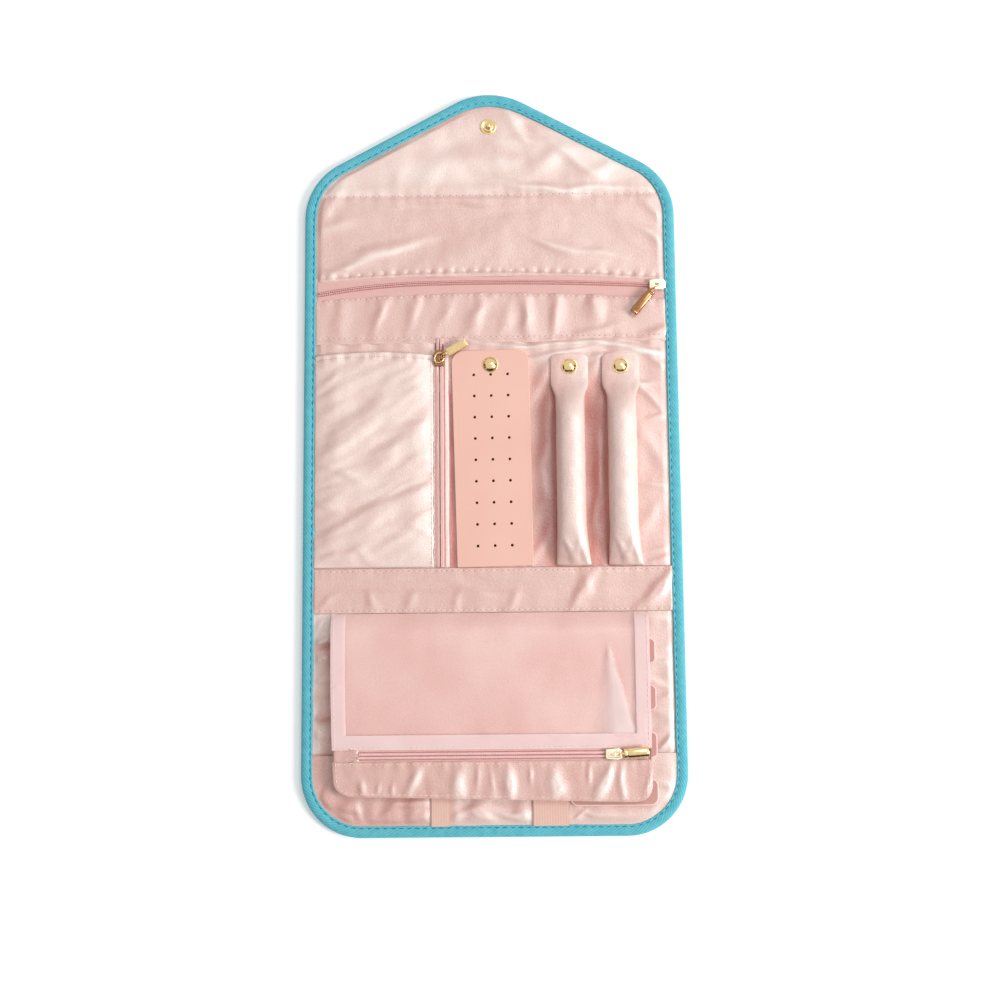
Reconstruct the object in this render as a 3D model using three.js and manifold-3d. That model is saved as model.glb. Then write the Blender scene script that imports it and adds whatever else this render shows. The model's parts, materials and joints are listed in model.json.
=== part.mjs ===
// Folding travel jewellery organiser, lying open on a table with its satin lining up.
// Millimetres, +Z up, +Y towards the pointed flap. The origin is under the middle of the open bag.
// From the flap down it is a top panel, an upper spine, a middle panel, a lower spine and a bottom
// panel. The creases between them are the fold lines.

import * as THREE from 'three';
import { mergeVertices } from 'three/addons/utils/BufferGeometryUtils.js';
import Module from 'manifold-3d';

const wasm = await Module();
wasm.setup();

// Panels
const bagWidth = 220;
const topPanelLength = 113;
const upperSpineLength = 37;
const middlePanelLength = 135.5;
const lowerSpineLength = 26;
const bottomPanelLength = 126.5;

// Outline
const flapSlopeDegrees = 28.3;
const flapTipRadius = 43;
const flapShoulderRadius = 38;
const bottomCornerRadius = 35;

// Layers of a panel, from the outer cover to the lining
const coverThickness = 1.0;
const paddingThickness = 1.3;
const liningThickness = 0.7;

// Binding folded round the edge of all the layers
const bindingWidth = 6;
const bindingLip = 0.8;
const bindingWeb = 1.0;
const bindingRounding = 0.7;

// Clearances
const creaseHalfGap = 0.15;
const clearance = 0.3;
const slack = 0.1;
const overcut = 1;

// Satin bands stitched over the two spines
const bandThickness = 0.6;
const upperBandLength = 23;

// Zips
const tapeWidth = 2.9;
const tapeThickness = 0.5;
const coilWidth = 1.6;
const coilHeight = 1.7;
const chainGap = 0.2;
const sliderLength = 9.5;
const sliderWidth = 6.8;
const sliderTailWidth = 5.4;
const sliderPlate = 0.9;
const sliderNoseRadius = 1.6;
const sliderTailRadius = 1.0;
const sliderRounding = 0.4;
const bailLength = 4.4;
const bailWidth = 2.0;
const bailHeight = 2.3;
const bailWire = 0.7;
const linkLength = 3.6;
const linkHalfWidth = 1.75;
const linkWire = 0.9;
const linkArm = 0.7;
const pullerThickness = 2.8;
const pullerRounding = 0.6;
const pullerCornerRadius = 0.8;
const pullerEyeWall = 0.4;
const pullerNeck = 1.85;
const pullerNeckHeight = 1.8;
const coilRounding = 0.5;

const topZipFromCrease = 6.5;
const topZipEndMargin = 2;
const topZipPullerDegrees = 230;
const topZipPullerLength = 16;
const topZipPullerWidth = 5;

const sideZipToCard = 7.8;
const sideZipFromCrease = 12.5;
const sideZipPullerDegrees = 30;
const sideZipPullerLength = 14.3;
const sideZipPullerWidth = 4.4;

const pocketZipFromEdge = 24.5;
const pocketZipPullerDegrees = 4;
const pocketZipPullerLength = 16;
const pocketZipPullerWidth = 5;
const pocketZipSliderMargin = 13.5;

// Slip pocket left of the side zip
const slipPocketDepth = 4.7;
const slipPocketSheet = 0.6;
const slipPocketSlope = 6;
const slipPocketMouth = 9;

// Card with columns of small holes
const cardWidth = 44;
const cardThickness = 1.3;
const cardTopMargin = 8.5;
const cardCornerRadius = 7;
const cardLift = 0.4;
const cardCapFromTop = 8;
const cardCapRadius = 4.75;
const cardHoleRadius = 0.65;
const cardColumnPitch = 9.9;
const cardColumns = 3;
const cardRowPitch = 12.6;
const cardFirstRow = 13.8;
const cardLastMargin = 10;

// Stuffed rolls
const rollWidth = 17;
const rollHeight = 13.5;
const rollPitch = 30;
const rollFromBinding = 28;
const rollToCard = 13;
const rollLift = 0.3;
const tabWidth = 22.5;
const tabLength = 20;
const tabThickness = 2.2;
const tabCornerRadius = 5;
const tabTopMargin = 10.5;
const tabRounding = 0.5;
const tabFootRadius = 1;
const tabSquareness = 0.6;
const rollSquareness = 0.9;
const rollJoin = 1;
const rollTaper = 12;
const rollSewnTaper = 14;
const rollSewnWidth = 20;
const rollSewnThickness = 2.4;
const rollCapFromTop = 7.6;
const rollCapRadius = 4.85;

// Press studs
const capHeight = 1.5;
const capRim = 0.5;
const capShoulder = 0.8;
const capShoulderDrop = 0.3;
const capCrown = 0.45;
const shankRadius = 2.6;
const shankWall = 0.8;
const studPostRadius = 1.4;
const studBaseRadius = 4.2;
const studBaseThickness = 0.25;
const closureFromTip = 20.5;
const closureCapRadius = 6;
const closureCapThickness = 0.9;
const closureShankRadius = 1.9;
const closureFlangeRadius = 5.0;
const closureFlangeThickness = 0.7;
const closurePostRadius = 1.75;
const closurePostReach = 2.3;
const closureSocketRadius = 6;
const closureSocketBore = 2.6;
const closureSocketDepth = 1.4;
const topFoldDegrees = 93;

// Clear pocket that hangs from the lower spine like a page
const leafLeftMargin = 12;
const leafRightMargin = 15;
const leafBottomMargin = 21.5;
const leafLift = 4.7;
const leafCornerRadius = 9;
const leafBackThickness = 0.5;
const leafRoom = 1.0;
const leafRim = 1.6;
const leafHingeHem = 2.4;
const windowThickness = 0.4;
const hemThickness = 0.5;
const hemSide = 8;
const hemBottom = 8;
const stripThickness = 0.6;
const zipTabWidth = 4;
const zipTabThickness = 0.6;
const zipTabLength = 9;
const zipTabFoot = 1.2;

// Board with four fingers on its free side
const boardWidth = 49.5;
const boardThickness = 1.4;
const boardFromBinding = 11.5;
const boardTopMargin = 15.5;
const boardBottomMargin = 17;
const boardCornerRadius = 4;
const fingerCount = 4;
const fingerWidth = 13.8;
const fingerLength = 10;

// Bottom slip pocket and elastic straps
const bottomPocketLength = 40;
const bottomPocketSheet = 0.5;
const strapThickness = 0.6;
const wideStrapWidth = 20;
const wideStrapToBoard = 1.1;
const narrowStrapWidth = 10.2;
const strapSpacing = 47.3;
const strapTopMargin = 20;

// Smoothness
const cornerSteps = 8;
const roundSteps = 20;
const holeSteps = 8;
const rollSteps = 16;

// Places that follow from the sizes
const flapTip = (topPanelLength + upperSpineLength + middlePanelLength + lowerSpineLength + bottomPanelLength) / 2;
const bottomEnd = -flapTip;
const topCrease = flapTip - topPanelLength;
const upperCrease = topCrease - upperSpineLength;
const lowerCrease = upperCrease - middlePanelLength;
const bottomCrease = lowerCrease - lowerSpineLength;

const coverTop = bindingLip + coverThickness;
const paddingTop = coverTop + paddingThickness;
const liningTop = paddingTop + liningThickness;
const bagThickness = liningTop + bindingLip;

const innerRight = bagWidth / 2 - bindingWidth;
const innerLeft = -innerRight;

const rightRollX = innerRight - rollFromBinding;
const leftRollX = rightRollX - rollPitch;
const cardX = leftRollX - tabWidth / 2 - rollToCard - cardWidth / 2;
const sideZipX = cardX - cardWidth / 2 - sideZipToCard;
const slipPocketRight = sideZipX - chainGap / 2 - tapeWidth - clearance;

const leafLeft = innerLeft + leafLeftMargin;
const leafRight = innerRight - leafRightMargin;
const leafTop = bottomCrease - clearance;
const leafBottom = bottomEnd + leafBottomMargin;
const leafBack = liningTop + leafLift;
const leafFront = leafBack + leafBackThickness + leafRoom;
const pocketZipY = leafBottom + pocketZipFromEdge;

const sliderTop = coilHeight + clearance + sliderPlate;
const pullerAxis = sliderTop + linkWire / 2 + clearance + pullerEyeWall + slack * 2;

// Materials
function finish(color, roughness, metalness = 0) {
  return new THREE.MeshStandardMaterial({ color, roughness, metalness });
}
const outerFabric = finish(0x3fa9c4, 0.85);
const bindingFabric = finish(0x3fabc8, 0.8);
const foam = finish(0xe8e4da, 0.95);
const satin = finish(0xf0cdc3, 0.35);
const zipTape = finish(0xd9959b, 0.7);
const gold = finish(0xc8a050, 0.25, 1);
const leatherette = finish(0xf5b2a5, 0.5);
const elastic = finish(0xf0b8a4, 0.8);
const vinyl = finish(0xf6d8d6, 0.15);
const hemTape = finish(0xf0c4cb, 0.4);

// Closed mesh to solid and back
function toSolid(geometry) {
  const bare = geometry.clone();
  bare.deleteAttribute('uv');
  bare.deleteAttribute('normal');
  const merged = mergeVertices(bare, 1e-4);
  return new wasm.Manifold(new wasm.Mesh({
    numProp: 3,
    vertProperties: new Float32Array(merged.attributes.position.array),
    triVerts: new Uint32Array(merged.index.array),
  }));
}

function toGeometry(solid) {
  const data = solid.getMesh();
  const geometry = new THREE.BufferGeometry();
  geometry.setAttribute('position', new THREE.BufferAttribute(new Float32Array(data.vertProperties), 3));
  geometry.setIndex(new THREE.BufferAttribute(new Uint32Array(data.triVerts), 1));
  geometry.computeVertexNormals();
  return geometry;
}

function join(...solids) {
  return solids.reduce((whole, next) => whole.add(next));
}

function cut(solid, ...tools) {
  return tools.reduce((left, tool) => left.subtract(tool), solid);
}

const bag = new THREE.Group();

function addMesh(name, solid, material, parent = bag) {
  const mesh = new THREE.Mesh(toGeometry(solid), material);
  mesh.name = name;
  parent.add(mesh);
  return mesh;
}

// Basic solids
function block(x0, x1, y0, y1, z0, z1) {
  const geometry = new THREE.BoxGeometry(x1 - x0, y1 - y0, z1 - z0);
  geometry.translate((x0 + x1) / 2, (y0 + y1) / 2, (z0 + z1) / 2);
  return toSolid(geometry);
}

function plate(shape, z0, z1) {
  const geometry = new THREE.ExtrudeGeometry(shape, { depth: z1 - z0, bevelEnabled: false });
  geometry.translate(0, 0, z0);
  return toSolid(geometry);
}

function softPlate(shape, z0, z1, rounding) {
  const geometry = new THREE.ExtrudeGeometry(shape, {
    depth: z1 - z0 - 2 * rounding,
    bevelThickness: rounding,
    bevelSize: rounding,
    bevelOffset: -rounding,
    bevelSegments: 2,
  });
  geometry.translate(0, 0, z0 + rounding);
  return toSolid(geometry);
}

function rod(x, y, radius, z0, z1, steps = roundSteps) {
  const geometry = new THREE.CylinderGeometry(radius, radius, z1 - z0, steps);
  geometry.rotateX(Math.PI / 2);
  geometry.translate(x, y, (z0 + z1) / 2);
  return toSolid(geometry);
}

function turned(x, y, profile) {
  const points = profile.map(([radius, z]) => new THREE.Vector2(radius, z));
  const geometry = new THREE.LatheGeometry(points, roundSteps);
  geometry.rotateX(Math.PI / 2);
  geometry.translate(x, y, 0);
  return toSolid(geometry);
}

// A section drawn in Y and Z, drawn out along X
function beam(section, x0, x1) {
  const geometry = new THREE.ExtrudeGeometry(polygon(section), { depth: x1 - x0, bevelEnabled: false });
  const axes = new THREE.Matrix4().makeBasis(
    new THREE.Vector3(0, 1, 0),
    new THREE.Vector3(0, 0, 1),
    new THREE.Vector3(1, 0, 0),
  );
  geometry.applyMatrix4(axes);
  geometry.translate(x0, 0, 0);
  return toSolid(geometry);
}

// Outlines
function polygon(points) {
  return new THREE.Shape(points.map(([x, y]) => new THREE.Vector2(x, y)));
}

// Corners run anticlockwise as [x, y, radius]
function roundedOutline(corners) {
  const points = [];
  corners.forEach(([x, y, radius], i) => {
    const [px, py] = corners[(i + corners.length - 1) % corners.length];
    const [nx, ny] = corners[(i + 1) % corners.length];
    const corner = new THREE.Vector2(x, y);
    if (radius === 0) {
      points.push([x, y]);
      return;
    }
    const toPrevious = new THREE.Vector2(px - x, py - y).normalize();
    const toNext = new THREE.Vector2(nx - x, ny - y).normalize();
    const halfAngle = Math.acos(THREE.MathUtils.clamp(toPrevious.dot(toNext), -1, 1)) / 2;
    const bisector = toPrevious.clone().add(toNext).normalize();
    const centre = corner.clone().addScaledVector(bisector, radius / Math.sin(halfAngle));
    const tangent = corner.clone().addScaledVector(toPrevious, radius / Math.tan(halfAngle));
    const start = Math.atan2(tangent.y - centre.y, tangent.x - centre.x);
    const sweep = Math.PI - 2 * halfAngle;
    for (let step = 0; step <= cornerSteps; step += 1) {
      const angle = start + (sweep * step) / cornerSteps;
      points.push([centre.x + radius * Math.cos(angle), centre.y + radius * Math.sin(angle)]);
    }
  });
  return points;
}

function insetCorners(corners, inset) {
  return corners.map(([x, y, radius], i) => {
    const [px, py] = corners[(i + corners.length - 1) % corners.length];
    const [nx, ny] = corners[(i + 1) % corners.length];
    const before = new THREE.Vector2(x - px, y - py).normalize();
    const after = new THREE.Vector2(nx - x, ny - y).normalize();
    const normalBefore = new THREE.Vector2(-before.y, before.x);
    const normalAfter = new THREE.Vector2(-after.y, after.x);
    const reach = inset / (1 + normalBefore.dot(normalAfter));
    return [
      x + reach * (normalBefore.x + normalAfter.x),
      y + reach * (normalBefore.y + normalAfter.y),
      radius - inset,
    ];
  });
}

const flapSlope = THREE.MathUtils.degToRad(flapSlopeDegrees);
const flapPoint = flapTip + flapTipRadius * (1 / Math.cos(flapSlope) - 1);
const shoulder = flapPoint - (bagWidth / 2) * Math.tan(flapSlope);
const bagCorners = [
  [-bagWidth / 2, bottomEnd, bottomCornerRadius],
  [bagWidth / 2, bottomEnd, bottomCornerRadius],
  [bagWidth / 2, shoulder, flapShoulderRadius],
  [0, flapPoint, flapTipRadius],
  [-bagWidth / 2, shoulder, flapShoulderRadius],
];

function bagOutline(inset) {
  return polygon(roundedOutline(insetCorners(bagCorners, inset)));
}

// Rectangle with its own radius at the lower and the upper corners
function roundedRectangle(x0, x1, y0, y1, lowerRadius, upperRadius) {
  return polygon(roundedOutline([
    [x0, y0, lowerRadius],
    [x1, y0, lowerRadius],
    [x1, y1, upperRadius],
    [x0, y1, upperRadius],
  ]));
}

// The layers and the binding are made whole, then parted at the creases
function makePanels() {
  const layerOutline = bagOutline(bindingWeb + clearance);
  const faceOutline = bagOutline(bindingWidth + clearance);
  const closureY = flapTip - closureFromTip;
  const shaft = rod(0, closureY, closureShankRadius + clearance, -overcut, bagThickness + overcut);
  const capSeat = rod(0, closureY, closureCapRadius + clearance, -overcut, closureCapThickness + clearance);
  const socketSeat = rod(0, closureSocketY(), closureSocketRadius + clearance, -overcut, coverTop + slack);

  const cover = cut(
    join(plate(layerOutline, bindingLip, coverTop), plate(faceOutline, 0, coverTop)),
    shaft,
    capSeat,
    socketSeat,
  );
  const padding = cut(plate(layerOutline, coverTop, paddingTop), shaft);
  const lining = cut(plate(layerOutline, paddingTop, liningTop), shaft);
  const binding = cut(
    softPlate(bagOutline(0), 0, bagThickness, bindingRounding),
    plate(bagOutline(bindingWeb), bindingLip, liningTop),
    plate(bagOutline(bindingWidth), -overcut, bagThickness + overcut),
  );

  const sections = [
    ['top_panel', topCrease + creaseHalfGap, flapTip + overcut, false],
    ['upper_spine', upperCrease + creaseHalfGap, topCrease - creaseHalfGap, true],
    ['middle', lowerCrease + creaseHalfGap, upperCrease - creaseHalfGap, true],
    ['lower_spine', bottomCrease + creaseHalfGap, lowerCrease - creaseHalfGap, true],
    ['bottom_panel', bottomEnd - overcut, bottomCrease - creaseHalfGap, false],
  ];
  for (const [name, low, high, open] of sections) {
    const section = block(-bagWidth, bagWidth, low, high, -overcut, bagThickness + overcut);
    addMesh(`${name}_cover`, cover.intersect(section), outerFabric);
    addMesh(`${name}_padding`, padding.intersect(section), foam);
    addMesh(`${name}_lining`, lining.intersect(section), satin);
    if (open) {
      const leftHalf = block(-bagWidth, 0, low, high, -overcut, bagThickness + overcut);
      const rightHalf = block(0, bagWidth, low, high, -overcut, bagThickness + overcut);
      addMesh(`${name}_binding_left`, binding.intersect(leftHalf), bindingFabric);
      addMesh(`${name}_binding_right`, binding.intersect(rightHalf), bindingFabric);
    } else {
      addMesh(`${name}_binding`, binding.intersect(section), bindingFabric);
    }
  }
}

// Satin bands that cover the seams of the spines
function makeBands() {
  const bandTop = liningTop + bandThickness;
  const left = innerLeft + clearance;
  const right = innerRight - clearance;
  const upperStart = upperCrease + creaseHalfGap;
  addMesh('upper_band', block(left, right, upperStart, upperStart + upperBandLength, liningTop, bandTop), satin);
  const lowerStart = bottomCrease + creaseHalfGap;
  const lowerEnd = lowerCrease - creaseHalfGap;
  addMesh('lower_band', block(left, right, lowerStart, lowerEnd, liningTop, bandTop), satin);
}

// Zips, drawn along their own X with the tapes lying on z = 0
function tapeHalf(x0, x1, side) {
  const near = chainGap / 2;
  const section = [
    [near, 0],
    [near + tapeWidth, 0],
    [near + tapeWidth, tapeThickness],
    [near + coilWidth, tapeThickness],
    [near + coilWidth, coilHeight - coilRounding],
    [near + coilWidth - coilRounding, coilHeight],
    [near, coilHeight],
  ];
  const half = beam(section, x0, x1);
  return side > 0 ? half : half.mirror([0, 1, 0]);
}

function sliderBody(linkAngle) {
  const half = sliderLength / 2;
  const flangeBottom = tapeThickness + clearance;
  const channelTop = coilHeight + clearance;
  const channelHalf = chainGap / 2 + coilWidth + clearance;
  const outline = polygon(roundedOutline([
    [-half, -sliderTailWidth / 2, sliderTailRadius],
    [half, -sliderWidth / 2, sliderNoseRadius],
    [half, sliderWidth / 2, sliderNoseRadius],
    [-half, sliderTailWidth / 2, sliderTailRadius],
  ]));
  const shell = cut(
    softPlate(outline, flangeBottom, sliderTop, sliderRounding),
    block(-sliderLength, sliderLength, -channelHalf, channelHalf, -overcut, channelTop),
  );
  const bailTop = sliderTop + bailHeight;
  const bail = cut(
    block(-bailLength / 2, bailLength / 2, -bailWidth / 2, bailWidth / 2, sliderTop - slack, bailTop),
    block(
      -bailLength / 2 + bailWire, bailLength / 2 - bailWire,
      -bailWidth, bailWidth,
      sliderTop + slack, bailTop - bailWire,
    ),
  );
  const wire = linkWire / 2;
  const link = cut(
    block(0, linkLength + wire, -linkHalfWidth, linkHalfWidth, pullerAxis - wire, pullerAxis + wire),
    block(linkWire, linkLength - wire, linkArm - linkHalfWidth, linkHalfWidth - linkArm, 0, 2 * bailTop),
  );
  return join(shell, bail, link.rotate([0, 0, linkAngle]));
}

// The puller lies along +X from the link bar, which passes through its eye
function pullerBody(length, width) {
  const half = pullerThickness / 2;
  const eyeWidth = 2 * (linkHalfWidth - linkArm - clearance + slack / 2);
  const eyeRadius = linkWire / 2 + clearance;
  const shape = polygon(roundedOutline([
    [pullerNeck, -width / 2, pullerCornerRadius],
    [length, -width / 2, pullerCornerRadius],
    [length, width / 2, pullerCornerRadius],
    [pullerNeck, width / 2, pullerCornerRadius],
  ]));
  const barrel = softPlate(shape, -half, half, pullerRounding);
  const eyeOuter = eyeRadius + pullerEyeWall;
  const ring = toSolid(new THREE.CylinderGeometry(eyeOuter, eyeOuter, eyeWidth, holeSteps * 2));
  const neckHalf = pullerNeckHeight / 2;
  const neck = block(0, pullerNeck + overcut, -eyeWidth / 2, eyeWidth / 2, -neckHalf, neckHalf);
  const hole = toSolid(new THREE.CylinderGeometry(eyeRadius, eyeRadius, width * 2, holeSteps * 2));
  return cut(join(barrel, ring, neck), hole);
}

function makeZip({ name, length, sliderAt, direction, puller, parent, x, y, z }) {
  const frame = new THREE.Group();
  frame.position.set(x, y, z);
  frame.rotation.z = THREE.MathUtils.degToRad(direction);
  parent.add(frame);
  addMesh(`${name}_tape_left`, tapeHalf(-length / 2, length / 2, 1), zipTape, frame);
  addMesh(`${name}_tape_right`, tapeHalf(-length / 2, length / 2, -1), zipTape, frame);

  const linkAngle = puller.degrees - direction;
  const slider = addMesh(`${name}_slider`, sliderBody(linkAngle), gold, frame);
  slider.position.x = sliderAt;

  const pull = addMesh(`${name}_puller`, pullerBody(puller.length, puller.width), gold, frame);
  const angle = THREE.MathUtils.degToRad(linkAngle);
  pull.position.set(
    sliderAt + linkLength * Math.cos(angle),
    linkLength * Math.sin(angle),
    pullerAxis,
  );
  pull.rotation.z = angle;
}

// Press stud parts that stand on the Z axis through x, y
function snapCap(x, y, radius, seat, bottom) {
  const bore = shankRadius - shankWall;
  const top = seat + capHeight;
  return turned(x, y, [
    [0, seat + slack],
    [bore, seat + slack],
    [bore, bottom],
    [shankRadius, bottom],
    [shankRadius, seat],
    [radius, seat],
    [radius, seat + capRim],
    [radius * capShoulder, top - capShoulderDrop],
    [radius * capCrown, top],
    [0, top],
  ]);
}

function snapStud(x, y, top) {
  const base = liningTop + studBaseThickness;
  return turned(x, y, [
    [0, liningTop],
    [studBaseRadius, liningTop],
    [studBaseRadius, base],
    [studPostRadius, base],
    [studPostRadius, top - slack],
    [studPostRadius - slack, top],
    [0, top],
  ]);
}

// Pocket front with a hollow behind it, open towards the flap
function makeSlipPocket() {
  const left = innerLeft + clearance;
  const bottom = lowerCrease + clearance;
  const mouth = upperCrease - slipPocketMouth;
  const front = liningTop + slipPocketDepth + slipPocketSheet;
  const arch = (inset, top) => polygon([
    [left + inset, liningTop],
    [slipPocketRight - inset, liningTop],
    [slipPocketRight - slipPocketSlope, top],
    [left + slipPocketSlope, top],
  ]);
  const upright = new THREE.Matrix4().makeBasis(
    new THREE.Vector3(1, 0, 0),
    new THREE.Vector3(0, 0, 1),
    new THREE.Vector3(0, -1, 0),
  );
  const drawn = (shape, y0, y1) => {
    const geometry = new THREE.ExtrudeGeometry(shape, { depth: y1 - y0, bevelEnabled: false });
    geometry.applyMatrix4(upright);
    geometry.translate(0, y1, 0);
    return toSolid(geometry);
  };
  const room = join(
    drawn(arch(slipPocketSheet, front - slipPocketSheet), bottom + slipPocketSheet, mouth + overcut),
    block(
      left + slipPocketSheet, slipPocketRight - slipPocketSheet,
      bottom + slipPocketSheet, mouth + overcut,
      liningTop - overcut, liningTop + slack,
    ),
  );
  addMesh('slip_pocket_front', cut(drawn(arch(0, front), bottom, mouth), room), satin);
}

// Leatherette card, sewn in at the lower spine and held by a snap at its top
function makeHoleCard() {
  const top = upperCrease - cardTopMargin;
  const bottom = lowerCrease + clearance;
  const under = liningTop + cardLift;
  const over = under + cardThickness;
  const capY = top - cardCapFromTop;
  const outline = roundedRectangle(cardX - cardWidth / 2, cardX + cardWidth / 2, bottom, top, 0, cardCornerRadius);
  const holes = [rod(cardX, capY, shankRadius + clearance, under - overcut, over + overcut)];
  const firstRow = top - cardFirstRow;
  const rows = Math.floor((firstRow - bottom - cardLastMargin) / cardRowPitch) + 1;
  for (let row = 0; row < rows; row += 1) {
    for (let column = 0; column < cardColumns; column += 1) {
      const x = cardX + (column - (cardColumns - 1) / 2) * cardColumnPitch;
      const y = firstRow - row * cardRowPitch;
      holes.push(rod(x, y, cardHoleRadius, under - overcut, over + overcut, holeSteps));
    }
  }
  addMesh('earring_card', cut(plate(outline, under, over), ...holes), leatherette);
  addMesh('earring_card_snap_cap', snapCap(cardX, capY, cardCapRadius, over, under + slack), gold);
  addMesh('earring_card_snap_stud', snapStud(cardX, capY, over - slack), gold);
}

// Loops of points round rounded sections, joined one to the next and closed at both ends
function loft(sections) {
  const positions = [];
  for (const { x, y, z, halfWidth, halfHeight, squareness } of sections) {
    for (let step = 0; step < rollSteps; step += 1) {
      const angle = (2 * Math.PI * step) / rollSteps;
      const c = Math.cos(angle);
      const s = Math.sin(angle);
      positions.push(
        x + halfWidth * Math.sign(c) * Math.abs(c) ** squareness,
        y,
        z + halfHeight * Math.sign(s) * Math.abs(s) ** squareness,
      );
    }
  }
  const index = [];
  for (let loop = 0; loop + 1 < sections.length; loop += 1) {
    for (let step = 0; step < rollSteps; step += 1) {
      const a = loop * rollSteps + step;
      const b = loop * rollSteps + ((step + 1) % rollSteps);
      index.push(a, b, a + rollSteps, b, b + rollSteps, a + rollSteps);
    }
  }
  for (const [loop, flip] of [[0, false], [sections.length - 1, true]]) {
    for (let step = 1; step + 1 < rollSteps; step += 1) {
      const a = loop * rollSteps;
      index.push(...(flip ? [a, a + step, a + step + 1] : [a, a + step + 1, a + step]));
    }
  }
  const geometry = new THREE.BufferGeometry();
  geometry.setAttribute('position', new THREE.Float32BufferAttribute(positions, 3));
  geometry.setIndex(index);
  return toSolid(geometry);
}

// Stuffed satin roll with a flat tab at its top, sewn in at the lower spine
function makeStuffedRoll(side, x) {
  const top = upperCrease - tabTopMargin;
  const tabEnd = top - tabLength;
  const bottom = lowerCrease + clearance;
  const under = liningTop + rollLift;
  const over = under + tabThickness;
  const capY = top - rollCapFromTop;
  const section = (y, width, height, squareness) => ({
    x,
    y,
    z: under + height / 2,
    halfWidth: width / 2,
    halfHeight: height / 2,
    squareness,
  });
  const swell = (from, to, amount) => from + (to - from) * amount;
  const sections = [];
  const ramp = [0, 0.25, 0.5, 0.75, 1];
  for (const t of ramp) {
    const ease = Math.sin((t * Math.PI) / 2);
    sections.push(section(
      swell(tabEnd + rollJoin, tabEnd - rollTaper, t),
      swell(tabWidth - rollJoin, rollWidth, t),
      swell(tabThickness, rollHeight, ease) - slack * (1 - t),
      swell(tabSquareness, rollSquareness, t),
    ));
  }
  for (const t of ramp.slice().reverse()) {
    const ease = Math.sin((t * Math.PI) / 2);
    sections.push(section(
      swell(bottom, bottom + rollSewnTaper, t),
      swell(rollSewnWidth, rollWidth, t),
      swell(rollSewnThickness, rollHeight, ease),
      swell(tabSquareness, rollSquareness, t),
    ));
  }
  const tabShape = roundedRectangle(x - tabWidth / 2, x + tabWidth / 2, tabEnd, top, tabFootRadius, tabCornerRadius);
  const tab = softPlate(tabShape, under, over, tabRounding);
  const shankHole = rod(x, capY, shankRadius + clearance, under - overcut, over + overcut);
  addMesh(`ring_roll_${side}`, cut(join(tab, loft(sections)), shankHole), satin);
  addMesh(`ring_roll_${side}_snap_cap`, snapCap(x, capY, rollCapRadius, over, under + slack), gold);
  addMesh(`ring_roll_${side}_snap_stud`, snapStud(x, capY, over - slack), gold);
}

// Where the flap stud comes to lie on the back of the bottom panel when the bag is folded shut
function closureSocketY() {
  const tilt = THREE.MathUtils.degToRad(topFoldDegrees - 90);
  const along = topPanelLength - closureFromTip;
  const closedY = upperCrease - along * Math.cos(tilt) + closurePostReach * Math.sin(tilt);
  return bottomCrease - (closedY - lowerCrease);
}

// Snap that holds the bag shut: a stud through the flap and a socket in the back of the bottom panel
function makeClosure() {
  const flangeTop = liningTop + closureFlangeThickness;
  const postTop = bagThickness + closurePostReach;
  addMesh('flap_snap_stud', turned(0, flapTip - closureFromTip, [
    [0, 0],
    [closureCapRadius, 0],
    [closureCapRadius, closureCapThickness - slack],
    [closureCapRadius - slack, closureCapThickness],
    [closureShankRadius, closureCapThickness],
    [closureShankRadius, liningTop],
    [closureFlangeRadius, liningTop],
    [closureFlangeRadius, flangeTop - clearance],
    [closureFlangeRadius - clearance, flangeTop],
    [closurePostRadius, flangeTop],
    [closurePostRadius, postTop - clearance],
    [closurePostRadius - clearance, postTop],
    [0, postTop],
  ]), gold);
  addMesh('flap_snap_socket', turned(0, closureSocketY(), [
    [0, closureSocketDepth],
    [closureSocketBore, closureSocketDepth],
    [closureSocketBore, 0],
    [closureSocketRadius, 0],
    [closureSocketRadius, coverTop],
    [0, coverTop],
  ]), gold);
}

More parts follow.
